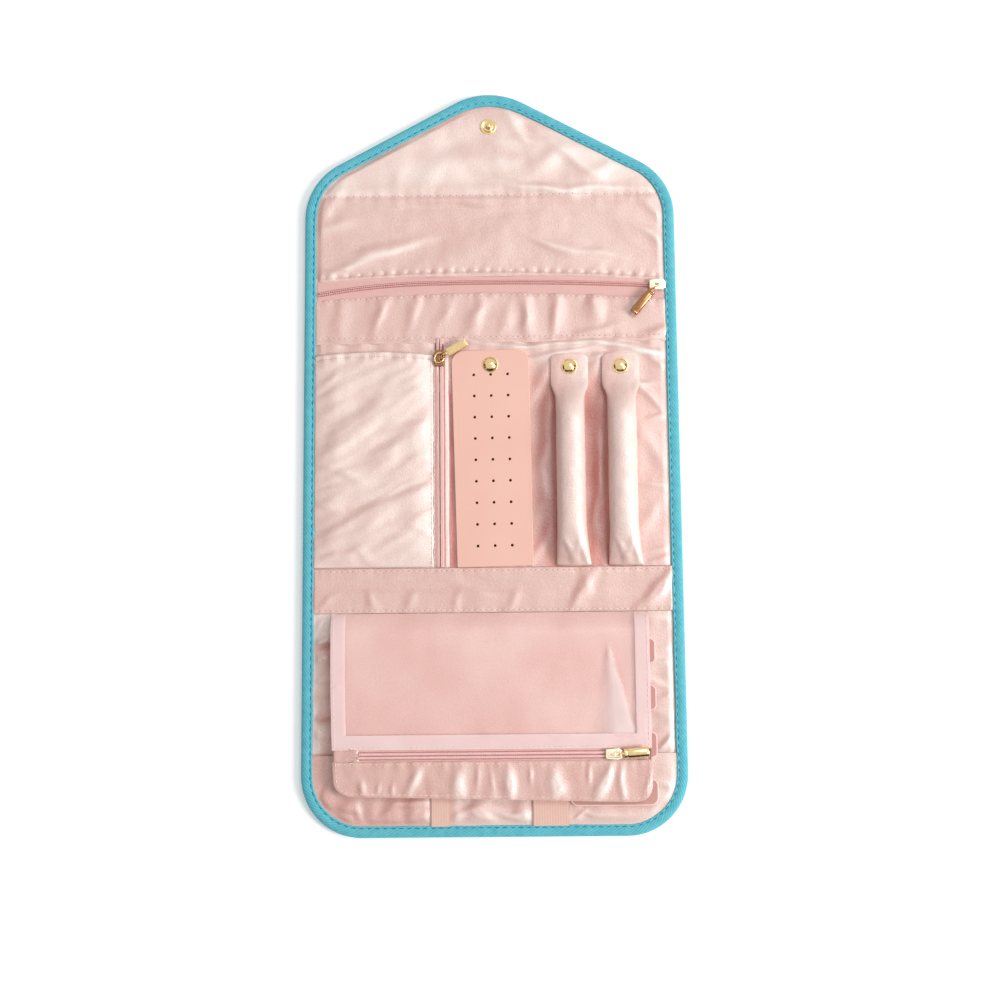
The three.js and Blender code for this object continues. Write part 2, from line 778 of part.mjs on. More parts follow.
// Clear pocket: satin back with a raised rim, vinyl window, hems, its own zip and a satin foot strip
function makeClearPocket() {
  const rimTop = leafFront;
  const backTop = leafBack + leafBackThickness;
  const rimInner = leafRim;
  const outline = roundedRectangle(leafLeft, leafRight, leafBottom, leafTop, leafCornerRadius, 0);
  const inner = roundedRectangle(
    leafLeft + rimInner, leafRight - rimInner,
    leafBottom + rimInner, leafTop - rimInner,
    leafCornerRadius - rimInner, 0,
  );
  const back = join(
    cut(plate(outline, leafBack, rimTop), plate(inner, backTop, rimTop + overcut)),
    block(leafLeft, leafRight, leafTop - leafHingeHem, leafTop, liningTop + clearance, leafBack + slack),
  );
  addMesh('clear_pocket_back', back, satin);

  const tapeReach = chainGap / 2 + tapeWidth + clearance;
  const windowBottom = pocketZipY + tapeReach;
  addMesh('clear_pocket_window', block(
    leafLeft, leafRight, windowBottom, leafTop, leafFront, leafFront + windowThickness,
  ), vinyl);

  const hemBottomZ = leafFront + windowThickness;
  const hemTopZ = hemBottomZ + hemThickness;
  addMesh('clear_pocket_hem', cut(
    block(leafLeft, leafRight, windowBottom, leafTop, hemBottomZ, hemTopZ),
    block(
      leafLeft + hemSide, leafRight - hemSide,
      windowBottom + hemBottom, leafTop + overcut,
      hemBottomZ - overcut, hemTopZ + overcut,
    ),
  ), hemTape);

  const stripTop = pocketZipY - tapeReach;
  const strip = plate(outline, leafFront, leafFront + stripThickness).intersect(
    block(leafLeft - overcut, leafRight + overcut, leafBottom - overcut, stripTop, leafBack, leafFront + overcut),
  );
  addMesh('clear_pocket_strip', strip, satin);

  addMesh('clear_pocket_zip_tab', makeZipTab(windowBottom, stripTop, hemTopZ), hemTape);

  makeZip({
    name: 'pocket_zip',
    length: leafRight - leafLeft - 2 * hemSide,
    sliderAt: (leafRight - leafLeft) / 2 - hemSide - pocketZipSliderMargin,
    direction: 0,
    puller: { degrees: pocketZipPullerDegrees, length: pocketZipPullerLength, width: pocketZipPullerWidth },
    parent: bag,
    x: (leafLeft + leafRight) / 2,
    y: pocketZipY,
    z: leafFront,
  });
}

// Bar tack over the closed end of the pocket zip, standing on the hem and on the foot strip
function makeZipTab(windowBottom, stripTop, hemTop) {
  const left = leafLeft + hemSide;
  const right = left + zipTabWidth;
  const top = pocketZipY + zipTabLength / 2;
  const bottom = pocketZipY - zipTabLength / 2;
  const roof = leafFront + coilHeight + slack;
  const stripTopZ = leafFront + stripThickness;
  return cut(
    block(left, right, bottom, top, stripTopZ, roof + zipTabThickness),
    block(left - overcut, right + overcut, stripTop, windowBottom - slack, leafFront, roof),
    block(left - overcut, right + overcut, bottom - overcut, stripTop - zipTabFoot, leafFront, roof),
    block(left - overcut, right + overcut, windowBottom - slack, top + overcut, leafFront, hemTop),
  );
}

// Leatherette board, notched on its right side into four fingers
function makeFingerBoard() {
  const right = innerRight - boardFromBinding;
  const left = right - boardWidth;
  const top = bottomCrease - boardTopMargin;
  const bottom = bottomEnd + boardBottomMargin;
  const under = liningTop + bottomPocketSheet;
  const over = under + boardThickness;
  const pitch = (top - bottom - fingerWidth) / (fingerCount - 1);
  const notches = [];
  for (let gap = 0; gap < fingerCount - 1; gap += 1) {
    const low = bottom + gap * pitch + fingerWidth;
    const high = bottom + (gap + 1) * pitch;
    const notch = polygon(roundedOutline([
      [right - fingerLength, low, boardCornerRadius],
      [right + 2 * boardCornerRadius, low, 0],
      [right + 2 * boardCornerRadius, high, 0],
      [right - fingerLength, high, boardCornerRadius],
    ]));
    notches.push(plate(notch, under - overcut, over + overcut));
  }
  const outline = roundedRectangle(left, right, bottom, top, boardCornerRadius, boardCornerRadius);
  addMesh('necklace_board', cut(plate(outline, under, over), ...notches), leatherette);
  return left;
}

function makeBottomPocketAndStraps(boardLeft) {
  const sheetTop = liningTop + bottomPocketSheet;
  const mouth = bottomEnd + bindingWidth + bottomPocketLength;
  const sheet = plate(bagOutline(bindingWidth + clearance), liningTop, sheetTop).intersect(
    block(-bagWidth, bagWidth, bottomEnd, mouth, liningTop - overcut, sheetTop + overcut),
  );
  addMesh('bottom_slip_pocket_front', sheet, satin);

  const strapBottom = bottomEnd + bindingWidth + clearance;
  const strapTop = bottomCrease - strapTopMargin;
  const wideRight = boardLeft - wideStrapToBoard;
  const wideLeft = wideRight - wideStrapWidth;
  const narrowRight = wideLeft - strapSpacing;
  const strapOver = sheetTop + strapThickness;
  addMesh('elastic_strap_wide', block(wideLeft, wideRight, strapBottom, strapTop, sheetTop, strapOver), elastic);
  addMesh('elastic_strap_narrow', block(
    narrowRight - narrowStrapWidth, narrowRight, strapBottom, strapTop, sheetTop, strapOver,
  ), elastic);
}

makePanels();
makeBands();
makeZip({
  name: 'top_zip',
  length: innerRight - innerLeft - 2 * topZipEndMargin,
  sliderAt: innerRight - clearance - sliderLength / 2 - slack,
  direction: 0,
  puller: { degrees: topZipPullerDegrees, length: topZipPullerLength, width: topZipPullerWidth },
  parent: bag,
  x: 0,
  y: topCrease - topZipFromCrease,
  z: liningTop,
});
makeZip({
  name: 'side_zip',
  length: upperCrease - lowerCrease - 2 * clearance,
  sliderAt: (upperCrease - lowerCrease) / 2 - sideZipFromCrease,
  direction: 90,
  puller: { degrees: sideZipPullerDegrees, length: sideZipPullerLength, width: sideZipPullerWidth },
  parent: bag,
  x: sideZipX,
  y: (upperCrease + lowerCrease) / 2,
  z: liningTop,
});
makeSlipPocket();
makeHoleCard();
makeStuffedRoll('left', leftRollX);
makeStuffedRoll('right', rightRollX);
makeClosure();
makeClearPocket();
makeBottomPocketAndStraps(makeFingerBoard());

export default bag;
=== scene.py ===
import json
import math

import bmesh
import bpy
import numpy as np
from mathutils import Matrix, Vector


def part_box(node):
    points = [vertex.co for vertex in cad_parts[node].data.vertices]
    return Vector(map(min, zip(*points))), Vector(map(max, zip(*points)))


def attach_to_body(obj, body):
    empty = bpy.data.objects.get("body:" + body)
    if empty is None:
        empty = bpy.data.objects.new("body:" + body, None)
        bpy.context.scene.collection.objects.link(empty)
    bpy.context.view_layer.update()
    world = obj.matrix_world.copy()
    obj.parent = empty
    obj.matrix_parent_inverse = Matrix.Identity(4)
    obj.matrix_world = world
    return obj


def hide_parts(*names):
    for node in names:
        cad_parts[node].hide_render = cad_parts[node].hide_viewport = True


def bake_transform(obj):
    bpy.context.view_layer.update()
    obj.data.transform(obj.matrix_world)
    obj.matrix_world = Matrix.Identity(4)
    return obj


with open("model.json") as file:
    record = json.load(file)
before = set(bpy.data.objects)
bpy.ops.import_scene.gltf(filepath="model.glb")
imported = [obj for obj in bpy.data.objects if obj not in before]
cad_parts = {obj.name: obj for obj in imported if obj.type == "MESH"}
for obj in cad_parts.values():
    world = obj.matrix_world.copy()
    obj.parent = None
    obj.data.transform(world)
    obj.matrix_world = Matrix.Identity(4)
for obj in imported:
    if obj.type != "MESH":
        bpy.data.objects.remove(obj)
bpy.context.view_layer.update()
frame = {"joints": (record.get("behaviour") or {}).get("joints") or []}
MM = 0.001

# Studio. The bag lies open on a white sweep. A 50 mm lens hangs 0.8 m above it, tipped a little
# towards the bottom edge. The key lamp stands low on the right and a small one higher up, which
# draws the sheen of the satin. Black flags round the table show only in reflections.
scene = bpy.context.scene
camera_tilt, camera_yaw, camera_roll = (math.radians(angle) for angle in (7.123, -0.625, 0.637))
camera_offset = Vector((4.943, -26.684, 813.834)) * MM
turn = (
    Matrix.Rotation(camera_roll, 3, "Z")
    @ Matrix.Rotation(camera_yaw, 3, "Y")
    @ Matrix.Rotation(-camera_tilt, 3, "X")
).transposed()
camera = bpy.data.objects.new("camera", bpy.data.cameras.new("camera"))
camera.data.lens = 50
camera.data.sensor_width = 36
camera.matrix_world = Matrix.Translation(turn @ camera_offset) @ turn.to_4x4()
scene.collection.objects.link(camera)
scene.camera = camera
scene.view_settings.view_transform = "Standard"


def lamp(name, place, aim, size, power):
    data = bpy.data.lights.new(name, "AREA")
    data.size = size
    data.energy = power
    light = bpy.data.objects.new(name, data)
    light.location = place
    light.rotation_euler = (Vector(aim) - Vector(place)).to_track_quat("-Z", "Y").to_euler()
    scene.collection.objects.link(light)


lamp("key", (1.95, -0.52, 1.47), (0, 0, 0), 0.85, 45.5)
lamp("sheen", (0.72, 0.56, 1.6), (0, 0, 0), 0.7, 8.0)

sky_strength = 0.38
world = bpy.data.worlds.new("studio")
scene.world = world
world.use_nodes = True
sky = world.node_tree
backdrop = sky.nodes["Background"]
backdrop.inputs["Color"].default_value = (1, 1, 1, 1)
rays = sky.nodes.new("ShaderNodeLightPath")
seen = rays.outputs["Is Camera Ray"]
for ray in ("Is Glossy Ray", "Is Transmission Ray"):
    either = sky.nodes.new("ShaderNodeMath")
    either.operation = "MAXIMUM"
    sky.links.new(seen, either.inputs[0])
    sky.links.new(rays.outputs[ray], either.inputs[1])
    seen = either.outputs[0]
strength = sky.nodes.new("ShaderNodeMapRange")
sky.links.new(seen, strength.inputs["Value"])
strength.inputs["To Min"].default_value = sky_strength
strength.inputs["To Max"].default_value = 1.0
sky.links.new(strength.outputs["Result"], backdrop.inputs["Strength"])


def srgb(*levels):
    """The linear colour of levels from 0 to 255 as a picture shows them."""
    shares = [level / 255 for level in levels]
    return tuple(s / 12.92 if s <= 0.04045 else ((s + 0.055) / 1.055) ** 2.4 for s in shares) + (1.0,)


class Value:
    """A number, colour or vector in a shader. Arithmetic on it adds Math nodes."""

    def __init__(self, finish, socket):
        self.finish = finish
        self.socket = socket

    def maths(self, operation, *values):
        return self.finish.node("ShaderNodeMath", dict(enumerate(values)), operation=operation)

    def __add__(self, other):
        return self.maths("ADD", self, other)

    def __sub__(self, other):
        return self.maths("SUBTRACT", self, other)

    def __rsub__(self, other):
        return self.maths("SUBTRACT", other, self)

    def __mul__(self, other):
        return self.maths("MULTIPLY", self, other)

    def wave(self, length):
        """Goes from 0 to 1 and back over each length."""
        return self.maths("SINE", self * (2 * math.pi / length)) * 0.5 + 0.5

    __radd__ = __add__
    __rmul__ = __mul__


class Finish:
    """A material. Numbers that are the same all over go straight on its shader's sockets."""

    def __init__(self, name, constants):
        self.material = bpy.data.materials.new(name)
        self.material.use_nodes = True
        self.tree = self.material.node_tree
        self.shader = self.tree.nodes["Principled BSDF"]
        self.feed(constants)

    def plug(self, socket, value):
        if isinstance(value, Value):
            self.tree.links.new(value.socket, socket)
        else:
            socket.default_value = value

    def feed(self, values):
        for name, value in values.items():
            self.plug(self.shader.inputs[name], value)

    def node(self, kind, inputs, output=0, **settings):
        """One node: its settings come first, then the values or links of its sockets."""
        node = self.tree.nodes.new(kind)
        for name, setting in settings.items():
            setattr(node, name, setting)
        for name, value in inputs.items():
            self.plug(node.inputs[name], value)
        return Value(self, node.outputs[output])

    def place(self, name="rest"):
        """A place on the piece in millimetres, kept on the mesh, so that it bends with the cloth."""
        return self.node("ShaderNodeAttribute", {}, output=1, attribute_name=name)

    def axes(self, name="rest"):
        place = self.place(name)
        return [self.node("ShaderNodeSeparateXYZ", {0: place}, output=axis) for axis in range(3)]

    def noise(self, size, detail=2, stretch=(1, 1, 1)):
        """Random from 0 to 1, in patches of about that size in millimetres."""
        spot = self.node(
            "ShaderNodeVectorMath",
            {0: self.place(), 1: [1 / (size * share) for share in stretch]},
            operation="MULTIPLY",
        )
        return self.node("ShaderNodeTexNoise", {"Vector": spot, "Scale": 1.0, "Detail": detail})

    def blend(self, share, first, second):
        return self.node("ShaderNodeMix", {0: share, 6: first, 7: second}, output=2, data_type="RGBA")

    def bump(self, height, depth):
        """Raises the surface by depth in millimetres where height is 1."""
        normal = self.node("ShaderNodeBump", {"Height": height, "Distance": depth * MM, "Strength": 1.0})
        self.feed({"Normal": normal})


floor_finish = Finish("white_sweep", {
    "Base Color": (0.9, 0.9, 0.9, 1),
    "Roughness": 0.9,
    "Specular IOR Level": 0.0,
    "Emission Strength": 1.0,
})
floor_place = floor_finish.node("ShaderNodeNewGeometry", {})
floor_away = floor_finish.node("ShaderNodeVectorMath", {0: floor_place}, output=1, operation="LENGTH")
floor_finish.feed({
    "Emission Color": floor_finish.blend((floor_away - 0.5) * 1.2, (0.26, 0.26, 0.26, 1), (1, 1, 1, 1)),
})
bpy.ops.mesh.primitive_plane_add(size=6, location=(0, 0, -0.0004))
floor = bpy.context.object
floor.name = "floor"
floor.data.materials.append(floor_finish.material)

black_card = Finish("black_card", {"Base Color": (0.02, 0.02, 0.02, 1), "Roughness": 0.9})
flag_places = [
    ((0.6, 0, 0.16), (0, 0, 0.16), (0.6, 0.26)),
    ((-0.6, 0, 0.16), (0, 0, 0.16), (0.6, 0.26)),
    ((0, -0.5, 0.24), (0, 0, 0.2), (1.3, 0.44)),
]
for number, (place, aim, size) in enumerate(flag_places):
    bpy.ops.mesh.primitive_plane_add(size=1)
    flag = bpy.context.object
    flag.name = f"flag_{number}"
    flag.scale = (*size, 1)
    flag.location = place
    flag.rotation_euler = (Vector(aim) - Vector(place)).to_track_quat("-Z", "Y").to_euler()
    flag.visible_camera = False
    flag.visible_diffuse = False
    flag.visible_shadow = False
    flag.visible_transmission = False
    flag.data.materials.append(black_card.material)

# Padded shell. The outer cover is plain turquoise cloth bonded to a thin foam. It runs in one piece
# from the flap to the bottom edge and bends at four creases, so it is built here in lengths, each across one
# crease.
panel_edges = {
    "flap_tip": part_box("top_panel_binding")[1].y / MM,
    "top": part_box("top_panel_cover")[0].y / MM - 0.15,
    "upper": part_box("upper_spine_cover")[0].y / MM - 0.15,
    "lower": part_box("middle_cover")[0].y / MM - 0.15,
    "bottom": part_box("lower_spine_cover")[0].y / MM - 0.15,
    "bottom_end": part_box("bottom_panel_binding")[0].y / MM,
}
half_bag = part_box("top_panel_binding")[1].x / MM
flap_slope = math.radians(28.3)
flap_tip_radius = 43
flap_shoulder_radius = 38
bottom_corner_radius = 35
bend_reach = 4.0
flap_point = panel_edges["flap_tip"] + flap_tip_radius * (1 / math.cos(flap_slope) - 1)
shoulder = flap_point - half_bag * math.tan(flap_slope)
upper_split = (panel_edges["top"] + panel_edges["upper"]) / 2
middle_split = (panel_edges["upper"] + panel_edges["lower"]) / 2
lower_split = (panel_edges["lower"] + panel_edges["bottom"]) / 2


def lengths_along(path):
    """How far each point lies along a path from its start."""
    return np.concatenate([[0], np.cumsum(np.linalg.norm(np.diff(path, axis=0), axis=1))])


def rounded_path(corners, step):
    """Points every step along a line of corners, each given as x, y and its radius."""
    points = [np.array(corners[0][:2], float)]
    for before, (x, y, radius), after in zip(corners, corners[1:-1], corners[2:]):
        corner = np.array([x, y], float)
        back = np.array(before[:2], float) - corner
        on = np.array(after[:2], float) - corner
        back /= np.linalg.norm(back)
        on /= np.linalg.norm(on)
        half_angle = math.acos(float(back @ on)) / 2
        middle = (back + on) / np.linalg.norm(back + on)
        centre = corner + middle * radius / math.sin(half_angle)
        start = corner + back * radius / math.tan(half_angle) - centre
        turn_by = math.pi - 2 * half_angle
        if back[0] * on[1] - back[1] * on[0] > 0:
            turn_by = -turn_by
        for share in np.linspace(0, 1, 24):
            c, s = math.cos(turn_by * share), math.sin(turn_by * share)
            points.append(centre + np.array([c * start[0] - s * start[1], s * start[0] + c * start[1]]))
    points.append(np.array(corners[-1][:2], float))
    points = np.array(points)
    lengths = lengths_along(points)
    even = np.linspace(0, lengths[-1], max(2, round(lengths[-1] / step) + 1))
    return np.stack([np.interp(even, lengths, points[:, axis]) for axis in (0, 1)], axis=1)


def inward(path):
    """The unit direction to the left of the path at each point."""
    along = np.gradient(path, axis=0)
    along /= np.linalg.norm(along, axis=1)[:, None]
    return np.stack([-along[:, 1], along[:, 0]], axis=1)


right_side = rounded_path(
    [
        (0, panel_edges["bottom_end"], 0),
        (half_bag, panel_edges["bottom_end"], bottom_corner_radius),
        (half_bag, shoulder, flap_shoulder_radius),
        (0, flap_point, flap_tip_radius),
        (-half_bag, shoulder, 0),
    ],
    0.5,
)
right_side = right_side[: int(np.argmax(right_side[:, 1])) + 1]


def half_width(y, inset):
    """Half the bag's width at that height, inside a margin along the edge."""
    edge = right_side + inward(right_side) * inset
    return np.clip(np.interp(y, edge[:, 1], edge[:, 0], left=0.2, right=0.2), 0.2, None)


noise_tables = {}
noise_cells = 64


def ripple(x, y, size, seed):
    """Smooth random waves about that long in millimetres, from -1 to 1, the same on each run."""
    if seed not in noise_tables:
        angles = np.random.default_rng(seed).uniform(0, 2 * math.pi, (noise_cells, noise_cells))
        noise_tables[seed] = (np.cos(angles), np.sin(angles))
    slope_x, slope_y = noise_tables[seed]
    gx, gy = np.asarray(x, float) / size, np.asarray(y, float) / size
    column, row = np.floor(gx).astype(int), np.floor(gy).astype(int)
    fx, fy = gx - column, gy - row
    ease_x = fx * fx * fx * (fx * (fx * 6 - 15) + 10)
    ease_y = fy * fy * fy * (fy * (fy * 6 - 15) + 10)

    def corner(i, j):
        a, b = (column + i) % noise_cells, (row + j) % noise_cells
        return slope_x[a, b] * (fx - i) + slope_y[a, b] * (fy - j)

    low = corner(0, 0) * (1 - ease_x) + corner(1, 0) * ease_x
    high = corner(0, 1) * (1 - ease_x) + corner(1, 1) * ease_x
    return (low * (1 - ease_y) + high * ease_y) * 1.6


def ramp(value):
    """The value, held between 0 and 1."""
    return np.clip(value, 0, 1)


def grid(x0, x1, y0, y1, step, across=None, rows=None):
    """Even places over a rectangle, rows along y and columns along x."""
    columns = across or max(2, round(abs(x1 - x0) / step) + 1)
    rows = rows or max(2, round(abs(y1 - y0) / step) + 1)
    return np.meshgrid(np.linspace(x0, x1, columns), np.linspace(y0, y1, rows))


def grid_faces(rows, columns, close=False):
    """Four-sided faces between the rows of a grid, closed round its columns if asked."""
    row, column = np.meshgrid(np.arange(rows - 1), np.arange(columns - (0 if close else 1)), indexing="ij")
    here = row * columns + column
    beside = row * columns + (column + 1) % columns
    return np.stack([here, beside, beside + columns, here + columns], axis=-1).reshape(-1, 4)


def add_piece(name, points, faces, finish, run=None):
    """A mesh from points in millimetres. It keeps each point's place at rest, and its run along a tape,
    which on a cloth holds its painted tone, light and shade.
    """
    points = np.asarray(points, float).reshape(-1, 3)
    mesh = bpy.data.meshes.new(name)
    mesh.from_pydata((points * MM).tolist(), [], [list(face) for face in faces])
    for attribute, values in (("rest", points), ("run", run)):
        if values is not None:
            layer = mesh.attributes.new(attribute, "FLOAT_VECTOR", "POINT")
            layer.data.foreach_set("vector", np.asarray(values, np.float32).ravel())
    mesh.shade_smooth()
    mesh.update()
    piece = bpy.data.objects.new(name, mesh)
    scene.collection.objects.link(piece)
    piece.data.materials.append(finish.material)
    return piece


def painted_slope_light(x, y, z):
    """Painted light and shade on folds: lighter where the cloth turns to the right, towards the key lamp,
    darker where it turns away.
    """
    slope_x = np.gradient(z, axis=1) / np.maximum(np.abs(np.gradient(x, axis=1)), 0.2)
    slope_y = np.gradient(z, axis=0) / np.maximum(np.abs(np.gradient(y, axis=0)), 0.2)
    return 1.7 * np.clip(0.3 * slope_y - 0.9 * slope_x, -0.3, 0.3)


def sheet_mesh(name, x, y, z, finish, tone=0.0):
    """A cloth surface over a grid. Its tone, from -1 for dark to 1 for light, is painted tone, light and
    shade, and the painted light and shade of its slopes is added to it.
    """
    run = np.stack([tone + painted_slope_light(x, y, z), 0 * x, 0 * x], axis=-1)
    return add_piece(name, np.stack([x, y, z], axis=-1), grid_faces(*x.shape), finish, run)


def slab(name, x, y, low, high, finish):
    """A closed piece between a lower and an upper surface over the same grid."""
    rows, columns = x.shape
    count = rows * columns
    points = np.concatenate([
        np.stack([x, y, low], axis=-1).reshape(-1, 3),
        np.stack([x, y, high], axis=-1).reshape(-1, 3),
    ])
    top = grid_faces(rows, columns) + count
    under = grid_faces(rows, columns)[:, ::-1]
    index = np.arange(count).reshape(rows, columns)
    rim = np.concatenate([index[0, :], index[1:, -1], index[-1, -2::-1], index[-2:0:-1, 0]])
    after = np.roll(rim, -1)
    sides = np.stack([rim, after, after + count, rim + count], axis=-1)
    piece = add_piece(name, points, np.concatenate([top, under, sides]), finish)
    piece.data.set_sharp_from_angle(angle=math.radians(50))
    return piece


def attach(piece, body, nodes=None):
    """Fixes a piece to one body; a piece over a crease, given the two bodies beside it, stays where it lies.
    """
    if isinstance(body, str):
        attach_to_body(piece, body)
    else:
        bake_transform(piece)
    if nodes is not None:
        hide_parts(*nodes)


def mottled(name, constants, size, detail, first, second):
    """A finish whose colour wanders between two tones in patches of that size in millimetres."""
    finish = Finish(name, constants)
    finish.feed({"Base Color": finish.blend(finish.noise(size, detail), srgb(*first), srgb(*second))})
    return finish


cover_cloth = mottled("turquoise_cloth", {"Roughness": 0.85, "Sheen Weight": 0.25},
                      14, 3, (48, 148, 176), (66, 172, 200))
weave_x, weave_y, _ = cover_cloth.axes()
cover_cloth.bump(weave_x.wave(0.9) * weave_y.wave(0.9) + cover_cloth.noise(2.5, 2) * 0.6, 0.12)

shell_inset = 2.5
shell_step = 2.2
cover_foot = 0.05
cover_top = 3.2
puff_size = 46
puff_height = 0.35
shell_segments = [
    ("flap", ("top_panel", "upper_spine", "top"), upper_split, panel_edges["flap_tip"]),
    ("upper", ("upper_spine", "middle_panel", "upper"), middle_split, upper_split),
    ("lower", ("middle_panel", "lower_spine", "lower"), lower_split, middle_split),
    ("base", ("lower_spine", "bottom_panel", "bottom"), panel_edges["bottom_end"], lower_split),
]
shell_nodes = {
    "flap": ("top_panel",),
    "upper": ("upper_spine", "middle"),
    "lower": (),
    "base": ("lower_spine", "bottom_panel"),
}
for name, bodies, low, high in shell_segments:
    first = max(low, panel_edges["bottom_end"] + shell_inset)
    last = min(high, panel_edges["flap_tip"] - shell_inset)
    share, y = grid(-1, 1, first, last, shell_step, across=100)
    x = share * half_width(y, shell_inset)
    puff = puff_height * (ripple(x, y, puff_size, 3) + 1) * ramp((1 - np.abs(share)) * 8)
    piece = slab(f"shell_{name}", x, y, cover_foot + 0.5 * puff, np.full_like(x, cover_top), cover_cloth)
    nodes = [f"{node}_{layer}" for node in shell_nodes[name] for layer in ("cover", "padding")]
    attach(piece, bodies, nodes)

# Satin lining. A blush polyester satin, cut a little larger than the shell, so that it lies in soft
# folds. It is sewn in at the edge and at each crease, and a hem crosses the flap.


def satin_finish(name, dark, pale, relief):
    """Satin, darker or paler by its painted tone, light and shade, with the relief of its crush and grain in
    millimetres.
    """
    cloth = Finish(name, {
        "IOR": 2.0,
        "Sheen Weight": 0.2,
        "Sheen Roughness": 0.35,
        "Coat Roughness": 0.2,
    })
    patch = cloth.noise(60, 2)
    crush = cloth.noise(8, 3, stretch=(1.5, 1, 1))
    grain = cloth.noise(0.9, 3)
    threads = cloth.noise(0.35, 1, stretch=(5, 1, 5))
    tone_and_shade, _, _ = cloth.axes("run")
    cloth.feed({
        "Base Color": cloth.blend(grain * 0.3 + patch * 0.12 + tone_and_shade * 0.3 + 0.34, dark, pale),
        "Roughness": grain * 0.16 + 0.3,
        "Coat Weight": patch * 0.2 + 0.1,
    })
    cloth.bump(crush * patch * 0.5 + grain * 0.22 + threads * 0.03, relief)
    return cloth


satin = satin_finish("blush_satin", srgb(188, 86, 64), srgb(252, 236, 226), 1.0)

thread = Finish("pale_thread", {"Base Color": srgb(246, 222, 214), "Roughness": 0.6})
# Painted shade: dark thread lengths between the stitches stand in for the shadow in the needle holes.
needle_hole_shade = Finish("needle_hole_shade", {"Base Color": srgb(168, 96, 98), "Roughness": 0.9})

lining_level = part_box("middle_lining")[1].z / MM
lining_inset = 5.3
lining_gap = 0.3
crease_gap = 0.1


def between(lower, upper):
    """Where a cloth lies between two creases, a little inside both."""
    return panel_edges[lower] + crease_gap, panel_edges[upper] - crease_gap


def fold_axes(x, y, middle_x, middle_y, degrees):
    """Places along and across one fold, from its middle."""
    c, s = math.cos(math.radians(degrees)), math.sin(math.radians(degrees))
    return (x - middle_x) * c + (y - middle_y) * s, (y - middle_y) * c - (x - middle_x) * s


def folds(x, y, places):
    """Height of soft folds, each given as its middle, direction in degrees, length, width and height."""
    height = np.zeros_like(x)
    for *lie, length, width, rise in places:
        along, across = fold_axes(x, y, *lie)
        height += rise * np.exp(-4 * (along / length) ** 2 - 4 * (across / width) ** 2)
    return height


step_scale = 1.65


def steps(x, y, places):
    """Height of slack places where the cloth climbs across a line, given like the folds."""
    height = np.zeros_like(x)
    for *lie, length, width, rise in places:
        along, across = fold_axes(x, y, *lie)
        climb = -across * 2 / width
        height += rise * step_scale * climb * np.exp(-4 * (along / length) ** 2 - climb * climb / 2)
    return height


def warped(x, y, reach, size, seed):
    """Places moved about a little, so that straight folds wander."""
    return x + reach[0] * ripple(x, y, size[0], seed), y + reach[1] * ripple(x, y, size[1], seed + 1)


def hump(value):
    """A bell curve: 1 where the value is 0, and almost nothing beyond 2."""
    return np.exp(-value ** 2)


margin_step = 2.0
margin_x = np.arange(0, half_bag + margin_step, margin_step)
margin_y = np.arange(panel_edges["bottom_end"], panel_edges["flap_tip"] + margin_step, margin_step)
edge_away = (margin_x[None, :, None] - right_side[None, None, ::2, 0]) ** 2
edge_away = edge_away + (margin_y[:, None, None] - right_side[None, None, ::2, 1]) ** 2
margin_table = np.sqrt(edge_away.min(axis=2))
margin_table[margin_x[None, :] > half_width(margin_y, 0)[:, None]] *= -1


def margin(x, y):
    """How far a place lies inside the lining's sewn edge."""
    column = np.clip(np.abs(x) / margin_step, 0, len(margin_x) - 1.001)
    row = np.clip((np.asarray(y) - margin_y[0]) / margin_step, 0, len(margin_y) - 1.001)
    j, i = column.astype(int), row.astype(int)
    fx, fy = column - j, row - i
    low = margin_table[i, j] * (1 - fx) + margin_table[i, j + 1] * fx
    high = margin_table[i + 1, j] * (1 - fx) + margin_table[i + 1, j + 1] * fx
    return low * (1 - fy) + high * fy - lining_inset


def sewn_edge(x, y, relief, level=0.2):
    """Presses the cloth's relief down to nothing where the binding holds it."""
    share = ramp((margin(x, y) - 1.6) / 3.5)
    share = share * share * (3 - 2 * share)
    return lining_level + relief * share + level * share - 0.35 * (1 - share)


def gathers(across, along, reach, pitch, depth, seed):
    """Small puckers beside a seam, fading out over reach on both sides of it."""
    return depth * np.exp(-np.abs(across) / reach) * (ripple(along, across / 5, pitch, seed) + 0.4)


def circle(sides):
    """Points round a circle of radius 1."""
    return [(math.cos(angle), math.sin(angle)) for angle in np.linspace(0, 2 * math.pi, sides + 1)[:-1]]


def stitch_line(path, pitch, length, radius):
    """Points and faces of thread lengths laid along a path given in millimetres."""
    path = np.asarray(path, float)
    lengths = lengths_along(path)
    middles = np.arange(pitch / 2, lengths[-1], pitch)
    rings, sides = 5, 6
    spokes = circle(sides)
    points, faces = [], []
    for number, middle in enumerate(middles):
        place, ahead, behind = (
            np.array([np.interp(middle + shift, lengths, path[:, axis]) for axis in range(3)])
            for shift in (0, 0.5, -0.5)
        )
        along = ahead - behind
        along /= np.linalg.norm(along) + 1e-9
        side = np.cross([0, 0, 1], along)
        side /= np.linalg.norm(side) + 1e-9
        up = np.cross(along, side)
        for ring in range(rings):
            t = 2 * ring / (rings - 1) - 1
            girth = radius * math.sqrt(max(0.12, 1 - t * t))
            centre = place + along * (length / 2 * t) - up * (radius * 0.9 * t * t)
            points += [centre + side * (girth * c) + up * (girth * s) for c, s in spokes]
        faces.append(grid_faces(rings, sides, close=True) + number * rings * sides)
    return np.array(points), np.concatenate(faces)


def joined(shapes):
    """Several shapes, each its points and faces, as one."""
    starts = np.cumsum([0] + [len(points) for points, _ in shapes])
    points = np.concatenate([points for points, _ in shapes])
    return points, np.concatenate([faces + start for (_, faces), start in zip(shapes, starts)])


def sew(name, body, paths, stitch, finish):
    """Rows of stitches on one body, or over one crease. A stitch is its pitch, length and radius."""
    piece = add_piece(name, *joined([stitch_line(path, *stitch) for path in paths]), finish)
    attach(piece, body)


